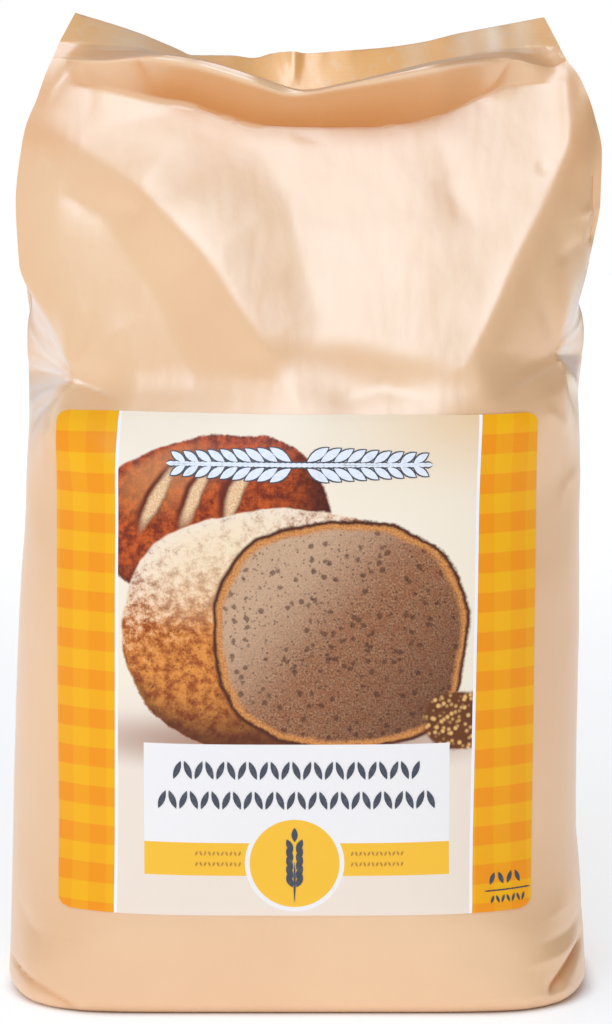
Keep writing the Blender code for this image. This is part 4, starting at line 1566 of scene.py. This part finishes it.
@dataclass(frozen=True)
class PrintFinish:
    """The printed paper label: gingham at the sides, a picture of bread, a white panel, a band and a badge.

    Attributes:
        start: left end of the flat label.
        width: its width.
        height: its height.
        line_left: where the left white line is, and so on for the right one.
        gingham_light: screen colour of the light bands of the gingham.
        gingham_dark: screen colour of its dark bands.
        white: screen colour of the panel and the badge's rim.
        band: screen colour of the band and the badge.
        cream: screen colour behind the loaves.
        table: screen colour of the table.
        check: width of a band of the gingham.
    """

    start: float
    width: float
    height: float
    line_left: float
    line_right: float
    gingham_light: Colour = (252, 182, 0)
    gingham_dark: Colour = (249, 151, 0)
    white: Colour = (248, 242, 238)
    band: Colour = (255, 196, 56)
    cream: Colour = (252, 236, 212)
    table: Colour = (246, 228, 210)
    check: float = 5.95

    def build(self) -> Material:
        """Makes the material."""
        paint = Painter("label_print")
        uv = paint.node("ShaderNodeUVMap")
        uv.uv_map = "OFBake"
        parts = paint.node("ShaderNodeSeparateXYZ", Vector=uv.outputs[0])
        s = paint.value(parts.outputs[0]) * self.width + self.start
        t = paint.value(parts.outputs[1]) * self.height
        flat = paint.node("ShaderNodeCombineXYZ", X=s, Y=t).outputs[0]
        self.picture(paint, s, t, flat)
        self.panels(paint, s, t)
        self.gingham(paint, s, t)
        fibre = paint.noise(flat, 3.0, 4.0, 0.6)
        normal = paint.bump(fibre, 0.00005, 0.5)
        normal = paint.bump(paint.noise(paint.place(), 38.0, 2.0), 0.0008, 0.35, normal)
        return paint.finish(
            (fibre - 0.5) * 0.1 + 0.42, normal, Coat_Weight=0.1, Coat_Roughness=0.25, Specular_IOR_Level=0.25
        )

    def body(
        self, paint: Painter, at: tuple[Value, Value], shape: Shape, skin: object, ends: Sequence[Colour]
    ) -> None:
        """Paints a rounded body, lit from the upper left.

        Args:
            paint: the material's painter.
            at: place across and height, already made ragged.
            shape: its outline.
            skin: its colour.
            ends: colours of its dark side and of its lit side.
        """
        inside = shape.oval(*at, 0.35, 2.3)
        paint.lay(inside, skin)
        a, b = shape.local(*at)
        a, b = a / shape.rs, b / shape.rt
        bulge = (a * a + b * b).math("MULTIPLY_ADD", -1.0, 1.0).math("MAXIMUM", 0.0).math("SQRT")
        light = bulge * 0.62 + b * 0.6 - a * 0.42
        paint.lay(inside * light.ramp(0.5, -0.25) * 0.9, ends[0])
        paint.lay(inside * light.ramp(0.72, 1.02) * 0.55, ends[1])

    def picture(self, paint: Painter, s: Value, t: Value, flat: Socket) -> None:
        """Paints a sliced loaf, a dark loaf behind it, a heap of grain and the table.

        Args:
            paint: the material's painter.
            s: place across.
            t: height.
            flat: both as a vector.
        """
        ragged = paint.noise(flat, 0.6, 4.0, 0.7)
        at = (
            s + (paint.noise(flat, 0.06, 2.0) - 0.5) * 5.0 + (ragged - 0.5) * 1.3,
            t + (paint.noise(flat, 0.08, 2.0) - 0.5) * 4.0 + (ragged - 0.5) * 1.3,
        )
        blotch = paint.noise(flat, 0.3, 6.0, 0.72)
        speck = paint.noise(flat, 1.6, 5.0, 0.8)
        paint.colour = paint.mix(self.cream, (240, 200, 150), s.ramp(-10.0, 60.0) * t.ramp(120.0, 160.0))
        paint.lay(t.ramp(74.0, 60.0), self.table)
        rind = paint.mix((120, 36, 10), (206, 88, 26), blotch.ramp(0.38, 0.64))
        rind = paint.mix(rind, (244, 164, 96), speck.ramp(0.56, 0.76) * 0.6)
        self.body(paint, at, Shape(-25, 121, 35, 24, 6), rind, ((62, 16, 8), (240, 158, 92)))
        for offset in (-20.0, -8.0, 4.0):
            s0, t0 = -23 + offset, 129 + offset * 0.1
            paint.lay(Shape(s0, t0, 10.5, 3.0, 64).oval(*at, 0.8), (108, 36, 12))
            cut = paint.mix((226, 164, 104), (252, 222, 180), speck.ramp(0.35, 0.65))
            paint.lay(Shape(s0 + 0.8, t0, 9.4, 1.8, 64).oval(*at, 0.8), cut)
        paint.lay(Shape(-6, 54, 52, 7).oval(s, t, 5.0) * 0.75, (150, 84, 46))
        crust = paint.mix((158, 70, 20), (236, 150, 66), blotch.ramp(0.36, 0.62))
        crust = paint.mix(crust, (96, 36, 10), paint.noise(flat, 0.45, 6.0, 0.85).ramp(0.54, 0.64) * 0.8)
        flour = (at[1] * 0.035 - at[0] * 0.012 + speck * 1.2 + blotch * 3.0).ramp(5.6, 6.6)
        crust = paint.mix(crust, (255, 236, 210), flour * 0.9)
        crust = paint.mix(crust, (120, 60, 28), paint.noise(flat, 1.1, 4.0, 0.8).ramp(0.62, 0.7) * 0.6)
        self.body(paint, at, Shape(-5, 87, 48, 37), crust, ((86, 34, 10), (255, 226, 180)))
        paint.lay(Shape(13, 86, 38.6, 34.6).oval(*at, 0.5, 2.5), (82, 34, 12))
        rim = paint.mix((188, 104, 44), (232, 164, 92), speck.ramp(0.35, 0.65))
        paint.lay(Shape(13, 86, 37.4, 33.4).oval(*at, 0.5, 2.5), rim)
        inside = Shape(13.3, 86, 35.6, 31.6).oval(*at, 0.9, 2.5)
        fine = paint.mix((100, 52, 30), (196, 140, 98), speck.ramp(0.34, 0.66))
        fine = paint.mix(fine, (150, 84, 46), blotch.ramp(0.45, 0.6) * 0.45)
        fine = paint.mix(fine, (232, 192, 154), paint.noise(flat, 0.9, 5.0, 0.8).ramp(0.58, 0.72) * 0.6)
        slope = s * 0.45 - t * 0.4
        fine = paint.mix(fine, (236, 200, 164), slope.ramp(-26.0, -46.0) * 0.55)
        fine = paint.mix(fine, (66, 28, 14), slope.ramp(-30.0, 2.0) * 0.62)
        paint.lay(inside, fine)
        for scale, low, high, dark in ((0.3, 0.34, 0.16, 0.65), (0.7, 0.3, 0.1, 0.6), (1.5, 0.26, 0.08, 0.5)):
            cells = paint.node("ShaderNodeTexVoronoi", Vector=flat, Scale=scale, Randomness=1.0)
            hole = (paint.value(cells.outputs["Distance"]) + (ragged - 0.5) * 0.7).ramp(low, high)
            paint.lay(hole * inside * dark, (70, 32, 18))
        heap = Shape(51, 60, 14, 9).oval(*at, 0.6, 2.2)
        seeds = paint.node("ShaderNodeTexVoronoi", Vector=flat, Scale=0.6, Randomness=0.9)
        grain = paint.value(seeds.outputs["Distance"]).ramp(0.6, 0.15)
        paint.lay(heap, paint.mix((108, 56, 22), (240, 186, 112), grain))
        paint.lay(speck.ramp(0.7, 0.74) * t.ramp(62.0, 56.0), (190, 124, 76))

    def panels(self, paint: Painter, s: Value, t: Value) -> None:
        """Paints the white panel, the yellow band and the round badge.

        Args:
            paint: the material's painter.
            s: place across.
            t: height.
        """
        paint.lay(Shape(-0.3, 37.9, 46.2, 15.2).box(s, t), self.white)
        paint.lay(Shape(-0.3, 17.6, 46.2, 5.1).box(s, t), self.band)
        paint.lay(Shape(-0.9, 16.4, 15.0, 15.0).oval(s, t, 0.1), self.white)
        paint.lay(Shape(-0.9, 16.4, 13.6, 13.6).oval(s, t, 0.1), self.band)

    def gingham(self, paint: Painter, s: Value, t: Value) -> None:
        """Paints the checked strips and the white lines beside them.

        Args:
            paint: the material's painter.
            s: place across.
            t: height.
        """
        def bands(along: Value, first: float, period: float) -> Value:
            """Soft bands: 1 on every second band."""
            wave = ((along - first) * (math.pi / period)).math("SINE")
            return (wave * 8.0).ramp(-1.0, 1.0)

        rows = bands(t, self.height - 2 * self.check, self.check)
        columns = bands(s, self.start + 1.0, self.check)
        weave = rows * 0.66 + columns * 0.34
        cloth = paint.mix(self.gingham_light, self.gingham_dark, weave)
        up = t - self.height / 2
        for line, slant, side in ((self.line_left, 0.006, Side.LEFT), (self.line_right, 0.017, Side.RIGHT)):
            away = s - up * slant - line
            paint.lay((away * side.value).ramp(-0.06, 0.06), cloth)
            paint.lay(away.math("ABSOLUTE").ramp(0.56, 0.4), (250, 250, 255))


@dataclass(frozen=True)
class InkFinish:
    """Printing ink on the label.

    Attributes:
        name: the material's name.
        colour: its screen colour.
        worn: its screen colour where it is thinner.
    """

    name: str
    colour: Colour
    worn: Colour

    def build(self) -> Material:
        """Makes the material."""
        paint = Painter(self.name)
        place = paint.place()
        paint.colour = paint.mix(self.colour, self.worn, paint.noise(place, 700.0, 3.0).ramp(0.45, 0.75))
        normal = paint.bump(paint.noise(place, 1500.0, 2.0), 0.00003, 0.5)
        return paint.finish(paint.noise(place, 300.0) * 0.12 + 0.36, normal)


@dataclass
class Ornament:
    """Printed grain marks: plain ornament in the places for words, laid out flat and wrapped on the label.

    Attributes:
        label: the label that they are printed on.
        depth: thickness of the ink.
        lift: how far it stands off the paper.
        corners: points round one mark.
        marks: (across, up, length, width, turn in degrees) of every mark by ink.
    """

    label: Label
    depth: float = 0.08
    lift: float = 0.09
    corners: int = 16
    marks: dict[Ink, list[tuple[float, ...]]] = field(default_factory=dict)

    def add(self, ink: Ink, s: float, t: float, size: Pair, turn: float = 90.0) -> None:
        """Adds a mark of a length and width, turned by degrees from the viewer's right."""
        self.marks.setdefault(ink, []).append((s, t, *size, turn))

    def braid(self, ink: Ink, ends: Pair, t: float, size: Pair, pitch: float) -> None:
        """Adds a row of marks that lean to and fro.

        Args:
            ink: their ink.
            ends: first and last place across.
            t: their height.
            size: length and width of a mark.
            pitch: distance between them.
        """
        count = max(round((ends[1] - ends[0]) / pitch), 1)
        for i, s in enumerate(np.linspace(ends[0], ends[1], count + 1)):
            self.add(ink, float(s), t, size, 90 + (22 if i % 2 else -22))

    def cord(self, ink: Ink, ends: Pair, t: float, width: float) -> None:
        """Adds a level line, as a chain of short marks that lie over one another.

        Args:
            ink: its ink.
            ends: first and last place across.
            t: its height.
            width: its width.
        """
        count = max(round((ends[1] - ends[0]) / 1.6), 1)
        for s in np.linspace(ends[0], ends[1], count + 1):
            self.add(ink, float(s), t, (3.2, width), 0.0)

    def ear(self, ink: Ink, foot: Pair, turn: float, pairs: int, size: Pair) -> None:
        """Adds an ear of grain with its stem.

        Args:
            ink: its ink.
            foot: where its lowest grains are.
            turn: where it points, in degrees.
            pairs: how many pairs of grains.
            size: length and width of a grain.
        """
        way = np.array([math.cos(math.radians(turn)), math.sin(math.radians(turn))])
        beside = np.array([-way[1], way[0]])
        for i in range(pairs):
            middle = np.array(foot) + way * i * size[0] * 0.62
            for side in Side:
                s, t = middle + beside * side.value * size[1] * 0.78
                self.add(ink, float(s), float(t), size, turn + side.value * 24)
        s, t = np.array(foot) + way * (pairs * size[0] * 0.62 + size[0] * 0.15)
        self.add(ink, float(s), float(t), size, turn)

    def lay_out(self) -> None:
        """Lays out all marks in the places for words."""
        arc, low = self.label.arc, self.label.bottom
        for z, ends in ((77.6, (-36.2, 35.5)), (68.4, (-40.8, 40.1))):
            self.braid(Ink.SLATE, (arc(ends[0]), arc(ends[1])), z - low, (6.0, 1.9), 3.3)
        for z in (51.9, 48.6):
            self.braid(Ink.TAN, (arc(-30.5), arc(-17.5)), z - low, (1.5, 0.55), 1.3)
            self.braid(Ink.TAN, (arc(16.5), arc(31.5)), z - low, (1.5, 0.55), 1.3)
        self.add(Ink.SLATE, -0.9, 10.5, (13.0, 0.7))
        self.ear(Ink.SLATE, (-0.9, 11.0), 90.0, 5, (4.4, 1.9))
        middle = 169.4 - low
        for ink, extra in ((Ink.SLATE, 0.9), (Ink.WHITE, 0.0)):
            self.cord(ink, (-38.0, 39.0), middle, 1.3 + extra)
            for side in Side:
                for i in range(9):
                    s = 0.5 + side.value * (5.6 + i * 3.85)
                    turn = 0.0 if side is Side.RIGHT else 180.0
                    for lean in (-32.0, 32.0):
                        t = middle + (3.0 if lean * side.value > 0 else -3.0) * (1 - i * 0.045)
                        size = (7.4 - i * 0.28 + extra, 2.6 - i * 0.07 + extra)
                        self.add(ink, s, t, size, turn + lean)
        self.cord(Ink.SLATE, (arc(57.5), arc(68.5)), 38.9 - low, 0.45)
        self.braid(Ink.SLATE, (arc(58.5), arc(66.0)), 42.6 - low, (4.0, 1.5), 2.6)
        self.braid(Ink.SLATE, (arc(58.5), arc(67.5)), 36.2 - low, (2.6, 0.9), 1.8)

    def tree(self) -> bpy.types.NodeTree:
        """Builds the nodes that put a grain on every point and wrap the marks on the paper.

        Returns:
            The tree.
        """
        tree = bpy.data.node_groups.new("grain_marks", "GeometryNodeTree")
        sockets = (
            ("Layout", "NodeSocketGeometry"), ("Paper", "NodeSocketObject"), ("Corners", "NodeSocketInt"),
            ("Depth", "NodeSocketFloat"), ("Lift", "NodeSocketFloat"), ("Ink", "NodeSocketMaterial"),
        )
        for name, kind in sockets:
            tree.interface.new_socket(name, in_out="INPUT", socket_type=kind)
        tree.interface.new_socket("Marks", in_out="OUTPUT", socket_type="NodeSocketGeometry")
        nodes, links = tree.nodes, tree.links
        given, result = nodes.new("NodeGroupInput"), nodes.new("NodeGroupOutput")

        def node(kind: str, inputs: dict[str | int, object], **fixed: object) -> bpy.types.Node:
            """Adds a node, with its inputs by name or place and some of its settings."""
            made = nodes.new(kind)
            for name, value in fixed.items():
                setattr(made, name, value)
            for name, value in inputs.items():
                feed(tree, made.inputs[name], value)
            return made

        def named(name: str, kind: str) -> Socket:
            """Reads an attribute."""
            made = node("GeometryNodeInputNamedAttribute", {"Name": name}, data_type=kind)
            return made.outputs["Attribute"]

        def joined(operation: str, *values: object) -> Socket:
            """Runs a Math node."""
            return node("ShaderNodeMath", dict(enumerate(values)), operation=operation).outputs[0]

        def moved(mesh: Socket, place: bpy.types.Node) -> Socket:
            """Sets the places of a mesh's points."""
            inputs = {"Geometry": mesh, "Position": place.outputs[0]}
            return node("GeometryNodeSetPosition", inputs).outputs["Geometry"]

        here = node("GeometryNodeInputPosition", {}).outputs[0]
        facing = node("GeometryNodeInputNormal", {}).outputs[0]
        ring = {"Vertices": given.outputs["Corners"], "Radius": 1.0, "Depth": 1.0}
        disc = node("GeometryNodeMeshCylinder", ring, fill_type="TRIANGLE_FAN")
        x, y, z = node("ShaderNodeSeparateXYZ", {0: here}).outputs
        thin = joined("SQRT", joined("MAXIMUM", joined("SUBTRACT", 1.0, joined("POWER", x, 2.0)), 0.02))
        pointed = node("ShaderNodeCombineXYZ", {0: x, 1: joined("MULTIPLY", y, thin), 2: z})
        spin = node("ShaderNodeCombineXYZ", {2: named("turn", "FLOAT")})
        copies = node("GeometryNodeInstanceOnPoints", {
            "Points": given.outputs["Layout"], "Instance": moved(disc.outputs["Mesh"], pointed),
            "Rotation": node("FunctionNodeEulerToRotation", {0: spin.outputs[0]}).outputs[0],
            "Scale": named("size", "FLOAT_VECTOR"),
        })
        real = node("GeometryNodeRealizeInstances", {"Geometry": copies.outputs["Instances"]})

        paper = node("GeometryNodeObjectInfo", {"Object": given.outputs["Paper"]}).outputs["Geometry"]
        start, width, height = self.label.size
        across = joined("DIVIDE", joined("SUBTRACT", x, start), width)
        corner = node("ShaderNodeCombineXYZ", {0: across, 1: joined("DIVIDE", y, height)})
        spot, normal = (
            node("GeometryNodeSampleUVSurface", {
                "Mesh": paper, "Value": read, "Source UV Map": named("OFBake", "FLOAT_VECTOR"),
                "Sample UV": corner.outputs[0],
            }, data_type="FLOAT_VECTOR").outputs["Value"]
            for read in (here, facing)
        )
        out = joined("ADD", joined("MULTIPLY", z, given.outputs["Depth"]), given.outputs["Lift"])
        push = node("ShaderNodeVectorMath", {0: normal, "Scale": out}, operation="SCALE")
        total = node("ShaderNodeVectorMath", {0: spot, 1: push.outputs[0]}, operation="ADD")
        wrapped = moved(real.outputs["Geometry"], total)
        inked = node("GeometryNodeSetMaterial", {"Geometry": wrapped, "Material": given.outputs["Ink"]})
        links.new(inked.outputs["Geometry"], result.inputs["Marks"])
        return tree

    def build(self, finishes: dict[Ink, Material]) -> list[Piece]:
        """Makes one piece for each ink.

        Args:
            finishes: the material of each ink.

        Returns:
            The pieces, riding on the root body.
        """
        self.lay_out()
        tree = self.tree()
        paper = self.label.front_sheet()
        pieces = []
        for ink, marks in self.marks.items():
            rows = np.array(marks)
            layout = bpy.data.meshes.new("layout")
            layout.from_pydata(np.column_stack([rows[:, :2], 0 * rows[:, 0]]).tolist(), [], [])
            turn = layout.attributes.new("turn", "FLOAT", "POINT")
            turn.data.foreach_set("value", np.radians(rows[:, 4]).astype(np.float32))
            size = layout.attributes.new("size", "FLOAT_VECTOR", "POINT")
            scale = np.column_stack([rows[:, 2] / 2, rows[:, 3] / 2, 0 * rows[:, 0] + 1])
            size.data.foreach_set("vector", scale.reshape(-1).astype(np.float32))
            holder = placed("layout", layout)
            wrap = holder.modifiers.new("marks", "NODES")
            wrap.node_group = tree
            values = {
                "Paper": paper, "Corners": self.corners, "Depth": self.depth * MM,
                "Lift": (self.lift + ink.value) * MM, "Ink": finishes[ink],
            }
            for item in tree.interface.items_tree:
                if item.in_out == "INPUT" and item.name in values:
                    wrap[item.identifier] = values[item.name]
            graph = bpy.context.evaluated_depsgraph_get()
            mesh = bpy.data.meshes.new_from_object(holder.evaluated_get(graph), depsgraph=graph)
            bpy.data.objects.remove(holder)
            piece = placed(f"print_{ink.name.lower()}", mesh)
            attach(piece, "root")
            pieces.append(piece)
        bpy.data.objects.remove(paper)
        return pieces


@dataclass
class Studio:
    """The camera, the lights, the pale floor and the white surroundings.

    Attributes:
        distance: from the camera to the bag's middle plane.
        height: of the camera.
        pitch: how far it looks down, in degrees.
        lens: its focal length.
        aim: its place across.
        footprint: half width, half depth and corner radius of the patch under the bag where the floor has no
            emission, a painted contact shadow, in metres.
        floor_radius: of the floor's disc.
        floor_sides: how many sides the disc has.
        sideways: how bright the surroundings are on the left and on the right.
        forward: the same in front of the bag and behind it.
        warm: colour of the darker surroundings.
        cool: colour of the brighter ones.
    """

    distance: float = 1042.2
    height: float = 281.4
    pitch: float = 7.24
    lens: float = 117.4
    aim: float = 1.55
    footprint: tuple[float, float, float] = (0.089, 0.0455, 0.034)
    floor_radius: float = 4000.0
    floor_sides: int = 96
    sideways: Pair = (0.93, 0.42)
    forward: Pair = (1.12, 0.66)
    warm: Colour = (1.0, 0.875, 0.8)
    cool: Colour = (1.0, 0.98, 0.99)

    def camera(self) -> None:
        """Makes the camera at the photograph's viewing angle."""
        data = bpy.data.cameras.new("camera")
        data.lens = self.lens
        data.sensor_width = 36.0
        data.clip_end = 20.0
        camera = placed("camera", data)
        camera.location = Vector((self.aim, -self.distance, self.height)) * MM
        camera.rotation_euler = (math.radians(90 - self.pitch), 0, 0)
        bpy.context.scene.camera = camera

    def lamp(self, name: str, place: Colour, power: float, size: Pair, tint: Colour) -> None:
        """Makes a soft lamp that shines at the bag.

        Args:
            name: its name.
            place: where it stands, in metres.
            power: its power in watts.
            size: its width and height in metres.
            tint: its colour.
        """
        data = bpy.data.lights.new(name, "AREA")
        data.shape = "RECTANGLE"
        data.size, data.size_y = size
        data.energy = power
        data.color = tint
        lamp = placed(name, data)
        lamp.location = place
        lamp.rotation_euler = (Vector((0, 0, 0.16)) - Vector(place)).to_track_quat("-Z", "Y").to_euler()

    def floor(self) -> None:
        """Makes the pale floor, a wide disc whose emission is painted light that also lights the bag from
        below, left out under the bag as a painted contact shadow.
        """
        turns = np.linspace(0, 2 * math.pi, self.floor_sides + 1)[:-1]
        ring = np.stack([np.cos(turns), np.sin(turns)], 1) * self.floor_radius
        points = np.column_stack([ring, np.full(self.floor_sides, -0.05)])
        paint = Painter("floor")
        place = paint.place()
        paint.colour = paint.mix((240, 240, 240), (246, 246, 246), paint.noise(place, 6.0))
        grain = paint.bump(paint.noise(place, 400.0), 0.0001, 0.1)
        finish = paint.finish(0.5, grain, Emission_Color=(0.93, 0.985, 1, 1))
        length = paint.tree.nodes.new("ShaderNodeVectorMath")
        length.operation = "LENGTH"
        paint.tree.links.new(place, length.inputs[0])
        parts = paint.node("ShaderNodeSeparateXYZ", Vector=place)
        # Painted light: the floor's emission, brighter far off, left out under the bag as a painted contact
        # shadow.
        across, away = (
            (paint.value(parts.outputs[i]).math("ABSOLUTE") - (half - self.footprint[2])).math("MAXIMUM", 0.0)
            for i, half in enumerate(self.footprint[:2])
        )
        outside = ((across * across + away * away).math("SQRT") - self.footprint[2]).ramp(-0.001, 0.006)
        painted_floor_glow = (paint.value(length.outputs["Value"]).ramp(0.3, 1.6) * 0.22 + 0.37) * outside
        paint.tree.links.new(painted_floor_glow.socket, paint.shader.inputs["Emission Strength"])
        mesh_object("floor", points, [tuple(range(self.floor_sides))], finish)

    def world(self) -> None:
        """Makes the white surroundings, which light the bag more softly than they look."""
        world = bpy.data.worlds.new("surroundings")
        bpy.context.scene.world = world
        world.use_nodes = True
        tree = world.node_tree
        back = tree.nodes["Background"]
        parts = tree.nodes.new("ShaderNodeSeparateXYZ")
        tree.links.new(tree.nodes.new("ShaderNodeTexCoord").outputs["Generated"], parts.inputs[0])
        seen = tree.nodes.new("ShaderNodeLightPath").outputs["Is Camera Ray"]

        def slope(axis: str, ends: Pair) -> Socket:
            """Brightness that changes along an axis, from one end of it to the other."""
            made = tree.nodes.new("ShaderNodeMapRange")
            tree.links.new(parts.outputs[axis], made.inputs["Value"])
            for name, value in (("From Min", -1.0), ("To Min", ends[0]), ("To Max", ends[1])):
                made.inputs[name].default_value = value
            return made.outputs[0]

        sideways, forward = slope("X", self.sideways), slope("Y", self.forward)
        both = Value(tree, sideways) * Value(tree, forward)
        feed(tree, back.inputs["Strength"], mixed(tree, "FLOAT", both, 1.0, seen))
        warmth = mixed(tree, "RGBA", (*self.warm, 1), (*self.cool, 1), sideways)
        feed(tree, back.inputs["Color"], mixed(tree, "RGBA", warmth, (1, 1, 1, 1), seen))

    def build(self) -> None:
        """Makes the whole studio."""
        self.camera()
        self.lamp("key", (-0.2, -1.2, 1.4), 10.4, (1.05, 0.9), (0.45, 0.71, 1.0))
        self.floor()
        self.world()
        bpy.context.scene.view_settings.view_transform = "Standard"


def main() -> None:
    """Builds the scene piece by piece."""
    logging.basicConfig(level=logging.INFO, format="%(message)s")
    film = FilmBag()
    pieces = [film.build(FilmFinish().build())]
    label = Label(film)
    start, width, height = label.size
    LOG.info("label flat: start %.1f width %.1f height %.1f", start, width, height)
    finish = PrintFinish(start, width, height, label.arc(-54.4), label.arc(53.2))
    pieces.append(label.build(finish.build()))
    inks = {
        Ink.SLATE: InkFinish("ink_slate", (62, 66, 78), (84, 86, 96)),
        Ink.TAN: InkFinish("ink_tan", (186, 132, 44), (200, 146, 56)),
        Ink.WHITE: InkFinish("ink_white", (238, 240, 245), (226, 228, 234)),
    }
    pieces += Ornament(label).build({ink: finish.build() for ink, finish in inks.items()})
    for piece in pieces:
        LOG.info("%s: %d faces", piece.name, len(piece.data.polygons))
    Studio().build()


if __name__ == "__main__":
    main()
